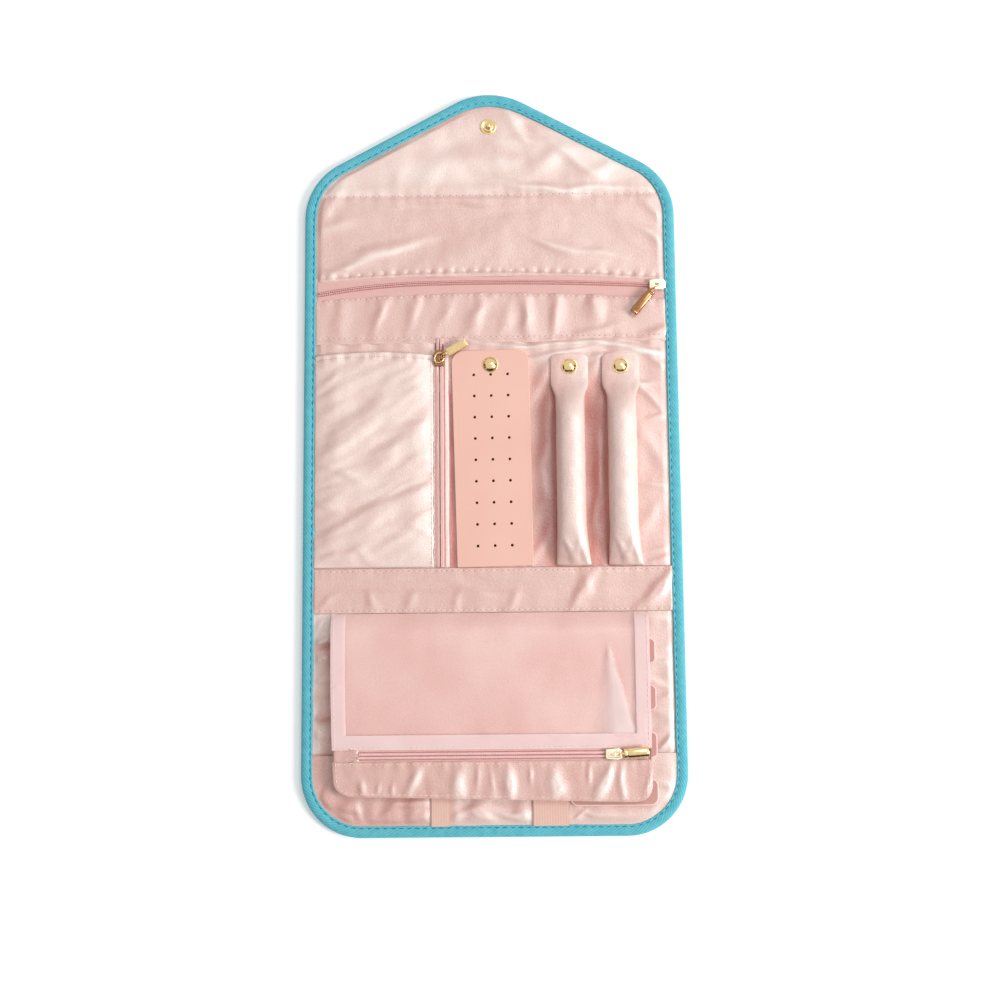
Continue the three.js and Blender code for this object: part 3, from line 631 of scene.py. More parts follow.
def over(x, y, surface, lift=0.1, place=None):
    """A path over a surface, lifted off it a little."""
    x, y = np.broadcast_arrays(np.asarray(x, float), np.asarray(y, float))
    height = surface(x, y) + lift
    if place:
        x, y = place(x, y)
    return np.stack([x, y, height], axis=-1)


def along_x(x0, x1, y, surface, lift=0.1):
    """A path over a surface across the bag, level or along a curve."""
    x = np.arange(x0, x1, 1.0)
    return over(x, y(x) if callable(y) else y, surface, lift)


flap_seam_y = 156.1
flap_seam_stitch = (3.85, 2.9, 0.24)
flap_seam_hole = (3.85, 0.8, 0.34)
flap_tack = (7.0, 2.4, 0.3)
flap_hem_stitch = (2.7, 1.7, 0.17)
flap_tack_up = 3.2
flap_hem_up = 1.4
flap_edge_y = 106.2
flap_seam_half = 100
flap_hole_shift = 1.9
flap_tack_half = 101.5
flap_hem_half = 102
placket_highest = 106.4
bow_span = 100
flap_folds = [
    (-83, 114, 19, 44, 6, 1.2), (-61, 124, 12, 40, 6, 1.2), (39, 124, -22, 30, 5, 0.9),
    (60, 120, -12, 34, 5, 0.8), (27, 161, -9, 50, 6, 1.0), (57, 158, 2, 40, 6, 1.1),
    (52, 177, -40, 40, 9, 1.0), (74, 179, 41, 40, 9, 0.8), (36, 178, 27, 28, 9, 1.0),
    (23, 189, -14, 20, 6, 0.9), (9, 184, -15, 18, 8, -0.8), (15, 201, -62, 34, 7, 0.7),
    (-35, 173, 4, 70, 18, 1.0), (-75, 178, 11, 34, 12, 0.8), (-92, 139, 18, 30, 9, 0.9),
    (97, 129, -39, 22, 6, 0.9), (99, 144, -58, 24, 6, 0.9), (-96, 152, 60, 26, 8, 0.7),
]
flap_steps = [
    (-16, 150, 0, 90, 6, -0.5), (-20, 128, 30, 80, 18, 0.35), (70, 136, -20, 60, 16, -0.5),
    (-60, 190, 28, 60, 12, 0.4),
]
# Painted highlights along the flap's fold crests, given like the folds.
flap_painted_highlights = [
    (-86, 112, 17, 36, 2.6, 0.8), (-60, 122, 15, 46, 3.0, 0.95), (40, 125, -20, 24, 2.6, 0.7),
    (59, 121, -10, 26, 2.6, 0.7), (30, 160, -8, 50, 3.0, 0.7), (60, 159, 3, 44, 3.4, 0.9),
    (52, 177, -40, 34, 4, 0.5), (70, 174, 35, 30, 6, 0.5), (15, 201, -62, 30, 4, 0.5),
    (-35, 173, 4, 70, 12, 0.35), (-92, 138, 18, 26, 6, 0.45), (97, 129, -39, 20, 3, 0.6),
    (99, 144, -58, 22, 4, 0.5),
]


def bowed(x, fall, highest=-8):
    """How far a bowed edge has fallen from its highest place, given its fall over the bow's span."""
    return fall * ((x - highest) / bow_span) ** 2


def placket_edge(x):
    """The flap's lower hem, bowed beside the zip."""
    return placket_highest - bowed(x, 3.8)


def flap_surface(x, y):
    """Height of the flap's lining: soft folds, puckers at its seam and dents under its tacks."""
    warp_x, warp_y = warped(x, y, (3, 3), (24, 26), 11)
    z = folds(warp_x, warp_y, flap_folds) + steps(warp_x, warp_y, flap_steps)
    z += 0.35 * ripple(warp_x, warp_y, 26, 13) + 0.12 * ripple(warp_x, warp_y, 9, 14)
    z += 0.45 * ramp((y - flap_seam_y) / 8) * ripple(warp_x, warp_y, 15, 18)
    z += gathers(y - flap_seam_y, x, 4, 5.2, 0.3, 15)
    z += 0.5 * hump((y - flap_seam_y - 4) / 2.6) * (0.7 + 0.6 * ripple(x, y, 20, 19))
    z -= 0.5 * hump((y - flap_seam_y) / 1.3)
    tacks = x / flap_tack[0]
    hem = y - placket_edge(x)
    z -= 0.5 * hump((tacks - np.round(tacks)) / 0.22) * hump((hem - flap_tack_up) / 1.5)
    z += gathers(hem - flap_tack_up, x, 3, 6.5, 0.5, 16)
    z += gathers(margin(x, y), y, 4, 6, 0.4, 17)
    z += 0.6 * hump((hem - 1.3) / 1.4)
    return sewn_edge(x, y, np.clip(z, -0.45, 3), 0.3)


# Painted shade in the flap's creases, given like the folds.
flap_crease_shade = [
    (-14, 150.5, 0, 84, 3, 0.6), (-70, 116, 17, 46, 2.6, 0.6), (9, 184, -15, 20, 7, 0.9),
    (60, 151, -3, 60, 5, 0.4), (30, 186, -20, 20, 5, 0.5),
]


def flap_tone(x, y):
    """The flap's upper piece is painted lighter, for the brighter sheen of satin cut the other way round,
    with painted highlights along fold crests and painted shade in the creases.
    """
    upper = ramp((y - flap_seam_y + 1) / 2)
    painted_sheen = hump((y - 170 - 0.12 * x) / 12) + 0.7 * hump((y - 195 + 0.3 * np.abs(x)) / 12)
    warp_x, warp_y = warped(x, y, (3, 3), (24, 26), 11)
    tone = upper * (0.2 + 0.35 * painted_sheen + 0.4 * ripple(x, y, 20, 131)) + 0.12 * ripple(x, y, 40, 132)
    return tone + folds(warp_x, warp_y, flap_painted_highlights) - 0.5 * folds(warp_x, warp_y, flap_crease_shade)


def lining(name, body, low, high, surface, nodes, shells, step=1.0, tone=None):
    """A lining cloth between two places along the bag, on the shell sections under it, which are given but
    not used.
    """
    share, y = grid(-1, 1, low, high, step, across=round(2 * half_bag / step))
    x = share * half_width(y, lining_inset)
    piece = sheet_mesh(name, x, y, surface(x, y), satin, tone(x, y) if tone else 0.0)
    attach(piece, body, nodes)
    cut_area = float(np.mean(2 * half_width(y[:, 0], lining_inset))) * (high - low) * MM * MM
    cut_area * 1.02


lining("flap_lining", "top_panel", flap_edge_y, panel_edges["flap_tip"] - lining_inset - lining_gap,
       flap_surface, ["top_panel_lining"], ["shell_flap"], tone=flap_tone)
sew("flap_seam_stitches", "top_panel", [along_x(-flap_seam_half, flap_seam_half, flap_seam_y, flap_surface)],
    flap_seam_stitch, thread)
flap_crease = ("top_panel", "upper_spine", "top")
placket_half = 103.2
placket_top = 111
placket_x, share = grid(-placket_half, placket_half, 0, 1, 0.8, rows=14)
placket_foot = placket_edge(placket_x)
placket_y = placket_foot + share * (placket_top - placket_foot)
placket_z = flap_surface(placket_x, placket_y) + 0.04
placket_z -= 0.6 * ramp(1 - (placket_y - placket_foot) / 0.7)
placket = sheet_mesh("flap_placket", placket_x, placket_y, placket_z, satin)
attach(placket, flap_crease)
for name, half, up, stitch in (("tacks", flap_tack_half, flap_tack_up, flap_tack),
                               ("stitches", flap_hem_half, flap_hem_up, flap_hem_stitch)):
    sew(f"flap_hem_{name}", flap_crease,
        [along_x(-half, half, lambda x: placket_edge(x) + up, flap_surface)], stitch, thread)
sew("flap_seam_holes", "top_panel",
    [along_x(flap_hole_shift - flap_seam_half, flap_seam_half, flap_seam_y, flap_surface, -0.05)],
    flap_seam_hole, needle_hole_shade)

middle_folds = [
    (4, 64.6, -8, 44, 2.8, 1.3), (40, 64.2, 5, 56, 3.2, 1.7), (81, 62, -10, 56, 4, 1.9),
    (46, 59.5, 12, 48, 4, 1.7), (81, 58.5, 6, 48, 3.6, 1.4), (92, 33, -47, 24, 5, 1.1),
    (90, 40, -7, 14, 4, 0.8), (99, 54, -35, 16, 4, 0.8), (95, -19, -9, 26, 4, 0.7),
    (97, -62, 24, 20, 4, 0.8), (95, -57, 15, 20, 3.5, 0.7), (97, 20, 11, 14, 4, 0.7),
    (94, 2, -60, 30, 8, 0.7), (92, -38, 50, 30, 8, 0.7), (30, 43, 59, 30, 8, 0.9), (60, 51, 59, 16, 6, 0.7),
    (31, 0, 84, 80, 6, 0.6), (61, -20, 86, 80, 5, 0.6), (29, -52, 60, 24, 6, 0.8),
]


def middle_surface(x, y):
    """Height of the middle lining, which is slack beside the rolls and puckers at both creases."""
    warp_x, warp_y = warped(x, y, (2, 1.5), (18, 22), 21)
    z = folds(warp_x, warp_y, middle_folds) + 0.45 * ripple(warp_x, warp_y, 16, 23)
    z += gathers(y - panel_edges["upper"] + 4, x, 6, 9, 0.6, 24)
    z += gathers(y - panel_edges["lower"] - 1, x, 5, 6, 0.4, 25)
    z += gathers(margin(x, y), y, 4, 6, 0.5, 26)
    return sewn_edge(x, y, np.clip(z, -0.4, 2.5))


# Painted shade in the valleys beside the card and the rolls: each is its middle, width and depth.
valley_shade = [
    (34.2, 6.5, 0.5), (61.0, 5.6, 0.75), (-24.5, 2.6, 1.1), (-22.8, 1.3, 0.8), (36.8, 2.2, 0.45),
    (66.6, 2.2, 0.45),
]


def middle_tone(x, y):
    """Painted shade where card and rolls lie on the satin, darkest in the valleys beside them and darker
    towards the right edge, with painted highlights along the fold crests near the top and at the right.
    """
    right = ramp((x + 30) / 4)
    warp_x, warp_y = warped(x, y, (2, 1.5), (18, 22), 21)
    tone = 0.2 * ripple(x, y, 20, 133) - 0.05 * right * ramp((y - 55) / 6) - 0.05
    tone += 0.5 * ramp((y - 50) / 6) * folds(warp_x, warp_y - 0.4, middle_folds)
    tone += 0.35 * ramp((x - 84) / 4) * folds(warp_x, warp_y, middle_folds)
    reach = ramp((50 - y) / 16)
    for middle, width, depth in valley_shade:
        tone -= depth * reach * np.exp(-((x - middle + 0.02 * y) / width) ** 4)
    # Painted shade where the rolls lie.
    roll_shade = ramp((x - 18) / 8) * ramp((88 - x) / 8) * ramp((56 - y) / 16)
    return tone - 0.25 * ramp((x - 88) / 4) - 0.65 * roll_shade


lining("middle_satin", "middle_panel", *between("lower", "upper"),
       middle_surface, ["middle_lining"], ["shell_upper", "shell_lower"], tone=middle_tone)

bottom_folds = [
    (-98, -108, 19, 14, 4, 1.3), (-98, -118, 23, 12, 4, 0.7), (-101, -131, 8, 9, 3, 0.6),
    (-101, -141, 4, 9, 3, 0.6), (-98, -151, 13, 14, 4, 0.9), (-99, -98, 38, 13, 4, 0.8),
    (-98, -163, -12, 14, 5, 0.7), (97, -168, 48, 24, 3.5, 1.3), (97, -122, 5, 18, 3.5, 0.8),
    (99, -141, 15, 12, 3, 0.7), (94, -134, -23, 12, 4, 0.7), (97, -97, 1, 20, 3, 0.7),
    (98, -114, 7, 16, 3, 0.6), (98, -152, -12, 16, 5, 0.6),
]
low_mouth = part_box("bottom_slip_pocket_front")[1].y / MM


def bottom_surface(x, y):
    """Height of the bottom lining, which lies flat under the low pocket."""
    z = folds(x, y, bottom_folds) + 0.5 * ripple(x, y / 1.6, 12, 31)
    z += 0.25 * ripple(x / 2, y, 5, 32)
    z += gathers(margin(x, y), y, 5, 6, 0.6, 33)
    under = ramp((low_mouth + 2 - y) / 2)
    return np.maximum(sewn_edge(x, y, np.clip(z, -0.4, 2.0) * (1 - under)) - 0.5 * under, 3.35)


# Painted shade in the creases beside the page, given like the folds.
strip_crease_shade = [
    (-95, -111, 16, 16, 5.0, 0.8), (-93, -118, 70, 16, 7, 0.3), (-97, -132, 3, 12, 3, 0.15),
    (-96, -140, -8, 12, 3, 0.15), (-96, -152.5, 12, 16, 5.0, 0.6), (-96, -163, -10, 14, 4.0, 0.25),
]


def bottom_tone(x, y):
    """Left of the page the satin is paler, with painted shade: the page's shadow beside its edge, dark
    creases and the shadow under the low pocket's mouth; to the right it is paler, with painted highlights on
    its folds.
    """
    left = ramp((-x - 80) / 10)
    right = ramp((x - 80) / 8)
    # Painted shadows: of the page's left edge, and under the low pocket's mouth.
    beside = ramp((x + 102) / 7) * ramp((-y - 104) / 6)
    mouth_shadow = hump((y - low_mouth - 0.5) / 0.7)
    tone = 0.1 + 0.08 * right
    tone += left * (0.8 - 1.15 * beside - 2.0 * folds(x, y, strip_crease_shade) - 1.4 * mouth_shadow)
    return tone + (0.25 + 0.15 * left) * ripple(x, y / 1.3, 8, 134) + 0.3 * right * folds(x, y, bottom_folds)


lining("bottom_satin", "bottom_panel", panel_edges["bottom_end"] + lining_inset + lining_gap,
       panel_edges["bottom"] - crease_gap, bottom_surface,
       ["bottom_panel_lining"], ["shell_base"], tone=bottom_tone)


def level_lining(x, y):
    """Height of a spine's lining, which its band holds nearly flat."""
    return lining_level - 0.15 + 0.1 * ripple(x, y, 20, 34)


lining("upper_spine_satin", "upper_spine", *between("upper", "top"),
       level_lining, ["upper_spine_lining"], ["shell_flap", "shell_upper"], step=3)
lining("lower_spine_satin", "lower_spine", *between("bottom", "lower"),
       level_lining, ["lower_spine_lining"], ["shell_lower", "shell_base"], step=3)

# Fold inlays. Behind each crease the lining cloth runs on from one panel to the next, which shows
# only when the bag is folded.
for name, bodies, low, high in shell_segments:
    middle = panel_edges[bodies[2]]
    share, y = grid(-1, 1, middle - bend_reach - 1, middle + bend_reach + 1, 0.7, across=40)
    x = share * half_width(y, lining_inset)
    inlay = sheet_mesh(f"fold_inlay_{name}", x, y, np.full_like(x, lining_level - 0.45), satin)
    attach(inlay, bodies)

# Binding. A ribbed turquoise bias tape, folded over the edge of shell and lining and sewn through
# with a teal thread close to its inner edge. Its lengths part where the shell's do.
binding_step = 1.2
tape_section = [
    (6.75, 3.7), (6.7, 4.2), (6.4, 4.55), (5.95, 4.65), (5.6, 4.45), (5.3, 4.35), (4.9, 4.5), (4.0, 4.72),
    (3.0, 4.8), (2.1, 4.7), (1.2, 4.42), (0.55, 3.95), (0.12, 3.2), (0.0, 2.3), (0.12, 1.4),
    (0.55, 0.65), (1.3, 0.2), (2.3, 0.0), (3.6, 0.05), (5.0, 0.3), (5.6, 0.1), (6.2, 0.15), (6.5, 0.7),
]
twist_pitch = 2.8
twist_slant = 1.6
binding_tape = Finish("ribbed_binding", {"Roughness": 0.75, "Sheen Weight": 0.15})
run_along, run_across, _ = binding_tape.axes("run")
rib = (run_along + run_across * 1.4).wave(1.15)
twist = (run_along + run_across * twist_slant).wave(twist_pitch)
worn = binding_tape.noise(3.5, 4)
binding_tape.feed({
    "Base Color": binding_tape.blend(
        rib * 0.2 + twist * 0.25 + worn * 0.55, srgb(30, 152, 179), srgb(128, 220, 227),
    ),
})
binding_tape.bump(rib * 0.5 + twist * 0.6, 0.18)
teal_thread = Finish("teal_thread", {"Base Color": srgb(28, 118, 146), "Roughness": 0.7})
binding_stitch = (4.5, 2.9, 0.26)
binding_seam_in = 5.4
binding_seam_heights = (4.5, 0.12)


def tape_along(path):
    """Points, faces and run of the binding along one path."""
    section = np.array(tape_section)
    reaches = lengths_along(section)
    points, run = [], []
    for place, side, length in zip(path, inward(path), lengths_along(path)):
        for (depth, height), reach in zip(section, reaches):
            wind = math.sin(2 * math.pi * (length + twist_slant * reach) / twist_pitch)
            swell = 1 + 0.012 * wind + 0.03 * float(ripple(length, depth, 18, 41))
            gathered = 1 + 0.14 * hump((place[1] - panel_edges["flap_tip"]) / 7)
            edge = place + side * (depth * swell * gathered)
            points.append((edge[0], edge[1], height + 0.1 * wind * (1 if height > 0.8 else 0)))
            run.append((length, reach, 0))
    return np.array(points), grid_faces(len(path), len(section)), np.array(run)


binding_paths = {
    "flap": [rounded_path([
        (half_bag, upper_split, 0), (half_bag, shoulder, flap_shoulder_radius),
        (0, flap_point, flap_tip_radius), (-half_bag, shoulder, flap_shoulder_radius),
        (-half_bag, upper_split, 0)], binding_step)],
    "upper": [],
    "lower": [],
    "base": [rounded_path([
        (-half_bag, lower_split, 0), (-half_bag, panel_edges["bottom_end"], bottom_corner_radius),
        (half_bag, panel_edges["bottom_end"], bottom_corner_radius), (half_bag, lower_split, 0)],
        binding_step)],
}
for name, low, high in (("upper", middle_split, upper_split), ("lower", lower_split, middle_split)):
    rows = round((high - low) / binding_step)
    right = np.stack([np.full(rows, half_bag), np.linspace(low, high, rows)], axis=1)
    binding_paths[name] = [right, right[::-1] * [-1, 1]]
binding_nodes = {
    "flap": ["top_panel_binding"],
    "upper": ["upper_spine_binding_left", "upper_spine_binding_right"],
    "lower": ["middle_binding_left", "middle_binding_right"],
    "base": ["lower_spine_binding_left", "lower_spine_binding_right", "bottom_panel_binding"],
}
for name, bodies, low, high in shell_segments:
    lengths = [tape_along(path) for path in binding_paths[name]]
    points, faces = joined([(points, faces) for points, faces, _ in lengths])
    run = np.concatenate([run for *_, run in lengths])
    tape = add_piece(f"binding_{name}", points, faces, binding_tape, run)
    rows = []
    for path in binding_paths[name]:
        row = path + inward(path) * binding_seam_in
        for height in binding_seam_heights:
            line = np.concatenate([row, np.full((len(row), 1), height)], axis=1)
            rows.append(stitch_line(line, *binding_stitch))
    seam = add_piece(f"binding_stitches_{name}", *joined(rows), teal_thread)
    attach(tape, bodies, binding_nodes[name])
    attach(seam, bodies)

# Satin bands. Each spine is covered by a band of the same satin, sewn along both edges. The upper
# one ends in a loose hem below its lower seam, and its other edge is turned in beside the zip.
band_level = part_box("upper_band")[1].z / MM
band_half = 103.6
upper_band_top = 96.1
upper_band_hem = 65.8
upper_band_row = panel_edges["upper"] + 0.5
band_turn_in = 1.2
lower_band_rows = (-68.2, -91.0)
band_stitch = (3.2, 2.3, 0.2)
lower_band_stitch = (3.2, 2.2, 0.2)
band_hole = (3.2, 0.7, 0.28)
upper_band_folds = [
    (21, 83, -84, 27, 8, 1.4), (39, 82, 84, 26, 7, 1.1), (62, 87, 81, 18, 8, 1.4), (61, 72, 14, 30, 5, 0.7),
    (-8, 83, 68, 26, 8, 1.1), (10, 81, 71, 22, 6, 0.5), (-27, 82, 68, 24, 7, 0.5),
    (-46, 85, 75, 20, 5, 0.7), (-66, 83, 75, 22, 6, 0.8), (98, 71, 21, 20, 6, 1.1),
    (88, 91, 30, 18, 6, 0.7), (-88, 80, 84, 24, 8, 0.5),
]
lower_band_steps = [
    (-64, -79.5, -1, 110, 7, 0.45), (18, -80, -1, 120, 7, 0.4), (-11, -77, -19, 26, 6, 0.4),
]
lower_band_folds = [
    (50, -82, 66, 22, 7, 1.1), (56, -76, 72, 16, 6, 1.0), (92, -84, 50, 26, 8, 1.1),
    (99, -76, 60, 20, 7, 1.1), (-70, -86, 90, 12, 6, 0.6), (-48, -86, 58, 12, 5, 0.6),
    (-95, -85, 37, 12, 5, 0.6), (12, -86, 60, 14, 6, 0.5), (-20, -86, 70, 12, 6, 0.5),
]


def band_edge(x):
    """The upper band's edge along the zip, bowed like the zip."""
    return upper_band_top - bowed(x, 4.0)


def band_row(x):
    """Where the upper band is sewn beside the zip."""
    return band_edge(x) - band_turn_in


def upper_band_surface(x, y):
    """Height of the upper band, gathered by its two seams."""
    z = folds(x + 2 * ripple(x, y, 12, 51), y, upper_band_folds) + 0.25 * ripple(x, y / 2, 14, 52)
    z += gathers(y - band_row(x), x, 3, 4.5, 0.3, 53)
    z += gathers(y - panel_edges["upper"], x, 3.5, 5, 0.22, 54)
    z -= 0.35 * hump((y - panel_edges["upper"]) / 0.9)
    z -= 0.3 * hump((y - band_row(x)) / 0.8)
    return band_level + 0.15 + np.clip(z, -0.45, 1.6)


def lower_band_surface(x, y):
    """Height of the lower band, pulled taut between its two seams."""
    warp_x = x + 2 * ripple(x, y, 12, 55)
    z = folds(warp_x, y, lower_band_folds) + steps(warp_x, y, lower_band_steps)
    z += 0.25 * ripple(x, y / 2, 15, 56)
    for row in lower_band_rows:
        z += gathers(y - row, x, 3, 5, 0.22, 57)
        z -= 0.35 * hump((y - row) / 0.9)
    return band_level + 0.15 + np.clip(z, -0.45, 1.4)


def strip(name, corners, surface, finish, nodes=(), step=0.8, tone=0.0,
          turn=0.5, bow=None, place=None):
    """A flat strip of cloth with its edges turned down. Its upper edge may be bowed."""
    x0, x1, y0, y1 = corners
    x, y = grid(x0, x1, y0, y1, step)
    top = bow(x) if bow else y1
    y = y0 + (y - y0) * (top - y0) / (y1 - y0)
    edge = np.minimum(np.minimum(x - x0, x1 - x), np.minimum(y - y0, top - y))
    z = surface(x, y) - turn * ramp(1 - edge / 0.7) ** 2
    if place:
        x, y = place(x, y)
    piece = sheet_mesh(name, x, y, z, finish, tone)
    if nodes:
        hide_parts(*nodes)
    return piece


# The bands' tone paints them a little darker, for the duller sheen of satin cut across.
upper_band = strip("upper_band_satin", (-band_half, band_half, upper_band_hem, upper_band_top),
                   upper_band_surface, satin, ["upper_band"], tone=-0.14, bow=band_edge)
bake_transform(upper_band)
lower_band = strip("lower_band_satin", (-band_half, band_half, *between("bottom", "lower")),
                   lower_band_surface, satin, ["lower_band"], tone=-0.2)
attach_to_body(lower_band, "lower_spine")
sewn_bands = [
    ("upper_band", "upper_spine", 102, (upper_band_row, band_row), upper_band_surface, band_stitch),
    ("lower_band", "lower_spine", 103, lower_band_rows, lower_band_surface, lower_band_stitch),
]
for band, body, reach, rows, surface, stitch in sewn_bands:
    sew(f"{band}_stitches", body, [along_x(-reach, reach, row, surface) for row in rows], stitch, thread)
for band, body, reach, rows, surface, _ in sewn_bands:
    lines = [along_x(band_hole[0] / 2 - reach, reach, row, surface, -0.02) for row in rows]
    sew(f"{band}_holes", body, lines, band_hole, needle_hole_shade)

# Zips. Two woven rose tapes carry a nylon coil each. The slider joins them, and its puller hangs on
# a link through the bail. The side zip lies between two satin lips.
tape_cloth = Finish("rose_tape", {"Roughness": 0.75, "Sheen Weight": 0.2})
tape_x, tape_y, _ = tape_cloth.axes("run")
herringbone = (tape_x + tape_y.wave(1.6) * 0.8).wave(0.8)
tape_cloth.feed({"Base Color": tape_cloth.blend(herringbone * 0.6 + tape_cloth.noise(4, 2) * 0.4,
                                                srgb(226, 174, 167), srgb(244, 200, 192))})
tape_cloth.bump(herringbone, 0.08)
coil_nylon = mottled("rose_coil", {"Roughness": 0.4}, 6, 2, (240, 192, 187), (250, 210, 205))
# Painted shade: the dark sheet under each coil stands in for the shade between its loops.
chain_painted_shade = mottled("chain_painted_shade", {"Roughness": 0.8}, 3, 2, (196, 122, 122), (212, 142, 140))
joints = {joint["name"]: joint for joint in frame["joints"]}
link_length = 3.6
link_half = 1.45
link_wire = 0.4
bail_wire = 0.42
slider_height = 2.9
eye_radius = 0.95
eye_wire = 0.32
neck_half = 0.75


class Zip:
    """Places along one zip. The joint of its puller gives the slider's middle and the puller's direction."""

    def __init__(self, name, direction):
        hinge = joints[f"{name}_puller_tilt"]
        self.name = name
        self.bar = np.array(hinge["pos_m"]) / MM
        axis = hinge["axis"]
        self.puller_angle = math.atan2(-axis[0], axis[1])
        self.direction = math.radians(direction)
        away = np.array([math.cos(self.puller_angle), math.sin(self.puller_angle)]) * link_length
        self.slider = self.bar[:2] - away
        low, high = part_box(f"{name}_tape_left")
        self.level = low.z / MM
        self.start, self.end = (low.x, high.x) if direction == 0 else (low.y, high.y)
        self.start, self.end = self.start / MM, self.end / MM

    def at(self, along, across):
        """Turns places along and across the zip into x and y."""
        if self.direction:
            return self.slider[0] - across, along
        return along, self.slider[1] + across


def tape_pair(zipper, body, left, right, bow, lift=0.0):
    """Both tapes of one zip, each from its bowed edge beside the coil to its straight outer edge."""
    tapes, runs = [], []
    for side, outer in ((1, left), (-1, right)):
        along, share = grid(zipper.start, zipper.end, 0, 1, 0.8, rows=12)
        far = side * outer(along) if callable(outer) else side * outer
        across = (side * 0.3 + bow(along)) * (1 - share) + far * share
        z = zipper.level + 0.28 + lift * ramp(2 * (1 - share))
        z += 0.06 * ripple(along, across * 3, 9, 61)
        z -= 0.5 * ramp((share - 0.75) * 4)
        points = np.stack([*zipper.at(along, across), z], axis=-1).reshape(-1, 3)
        faces = grid_faces(*along.shape)
        tapes.append((points, faces if side > 0 else faces[:, ::-1]))
        runs.append(np.stack([along, across, np.zeros_like(along)], axis=-1).reshape(-1, 3))
    piece = add_piece(f"{zipper.name}_tapes", *joined(tapes), tape_cloth, np.concatenate(runs))
    attach(piece, body, [f"{zipper.name}_tape_left", f"{zipper.name}_tape_right"])
    return piece


def coil(zipper, body, bow, reach, pitch=1.3, girth=0.6, first=None):
    """The closed chain: loops of nylon from both sides, half a pitch apart, over a sheet painted dark for
    the shade between them.
    """
    loops = []
    rings, sides = 7, 6
    spokes = circle(sides)
    for side in (-1, 1):
        begin = (first or zipper.start + 0.8) + (pitch / 2 if side > 0 else 0)
        for along in np.arange(begin, zipper.end - 0.8, pitch):
            points = []
            for ring in range(rings):
                t = ring / (rings - 1)
                across = side * (0.12 + (reach - 0.12) * t) + float(bow(along))
                round_off = girth * (1 - (2 * t - 1) ** 6 * 0.75)
                height = zipper.level + 0.55 + 0.75 * math.sin(math.pi * t) ** 0.7
                for c, s in spokes:
                    place = zipper.at(along + round_off * c + 0.3 * side * t, across)
                    points.append((*place, height + round_off * 0.6 * s))
            loops.append((np.array(points), grid_faces(rings, sides, close=True)))
    piece = add_piece(f"{zipper.name}_coil", *joined(loops), coil_nylon)
    along, across = grid(first or zipper.start, zipper.end, -reach - 0.35, reach + 0.35, 1.0)
    x, y = zipper.at(along, across + bow(along))
    shade_sheet = sheet_mesh(f"{zipper.name}_chain_bed", x, y, np.full_like(x, zipper.level + 0.48), chain_painted_shade)
    for part in (piece, shade_sheet):
        attach(part, body)
    return [piece, shade_sheet]


chain_bow = 3.0
chain_sag = 3.8
chain_sag_from = 40
chain_sag_length = 62


def top_bow(x):
    """How far the top zip's chain bows with its band, and sags at its left end."""
    sag = chain_sag * ramp((-x - chain_sag_from) / chain_sag_length) ** 2
    return chain_bow - bowed(x, chain_bow, -5) - sag


def straight(x):
    """The bow of a zip that runs straight."""
    return 0 * x


top_zip = Zip("top_zip", 0)
side_zip = Zip("side_zip", 90)
pocket_zip = Zip("pocket_zip", 0)
top_tapes = tape_pair(top_zip, "upper_spine", lambda x: placket_edge(x) + 1.5 - top_zip.slider[1],
                      lambda x: top_zip.slider[1] - band_edge(x) + 1.5, top_bow)
top_chain = coil(top_zip, "upper_spine", top_bow, 1.0)
(top_zip.end - top_zip.start) * MM
side_tapes = tape_pair(side_zip, "middle_panel", 3.0, 3.0, straight, lift=1.2)
side_chain = coil(side_zip, "middle_panel", straight, 1.2)
pocket_tapes = tape_pair(pocket_zip, "clear_pocket", 4.4, 4.2, straight)
pocket_chain = coil(pocket_zip, "clear_pocket", straight, 1.9, pitch=1.0, girth=0.8, first=-76.4)


def plated(name, constants, size, first, second, scuffed, smooth):
    """A plated metal. Where it is scuffed it is paler and rougher."""
    metal = Finish(name, {"Metallic": 1.0, **constants})
    scuff = metal.noise(size, 4)
    metal.feed({
        "Base Color": metal.blend(scuff, srgb(*first), srgb(*second)),
        "Roughness": scuff * scuffed + smooth,
    })
    return metal


# The paler and darker copies of the gold are painted for the reflections that the sliders and pullers show.
gold = plated("bright_gold", {"Coat Weight": 0.3, "Coat Roughness": 0.05}, 1.4,
              (214, 182, 126), (238, 212, 160), 0.08, 0.16)
gold_painted_lighter = plated("gold_painted_lighter", {}, 1.4, (248, 230, 192), (255, 244, 220), 0.14, 0.24)
gold_painted_darker = plated("gold_painted_darker", {"Coat Weight": 0.5, "Coat Roughness": 0.06}, 1.6,
                   (138, 92, 54), (176, 124, 78), 0.06, 0.2)


def add_mesh(name, mesh, body, finish, nodes=None):
    """A piece from a mesh in metres. It keeps each point's place at rest."""
    points = np.array([vertex.co for vertex in mesh.vertices])
    layer = mesh.attributes.new("rest", "FLOAT_VECTOR", "POINT")
    layer.data.foreach_set("vector", (points / MM).astype(np.float32).ravel())
    piece = bpy.data.objects.new(name, mesh)
    scene.collection.objects.link(piece)
    mesh.materials.append(finish.material)
    attach(piece, body, nodes)


def capped(rings, sides):
    """Faces of a tube between rings of points, closed at both ends."""
    faces = [tuple(face) for face in grid_faces(rings, sides, close=True)]
    faces.append(tuple(range(sides))[::-1])
    faces.append(tuple(range((rings - 1) * sides, rings * sides)))
    return faces


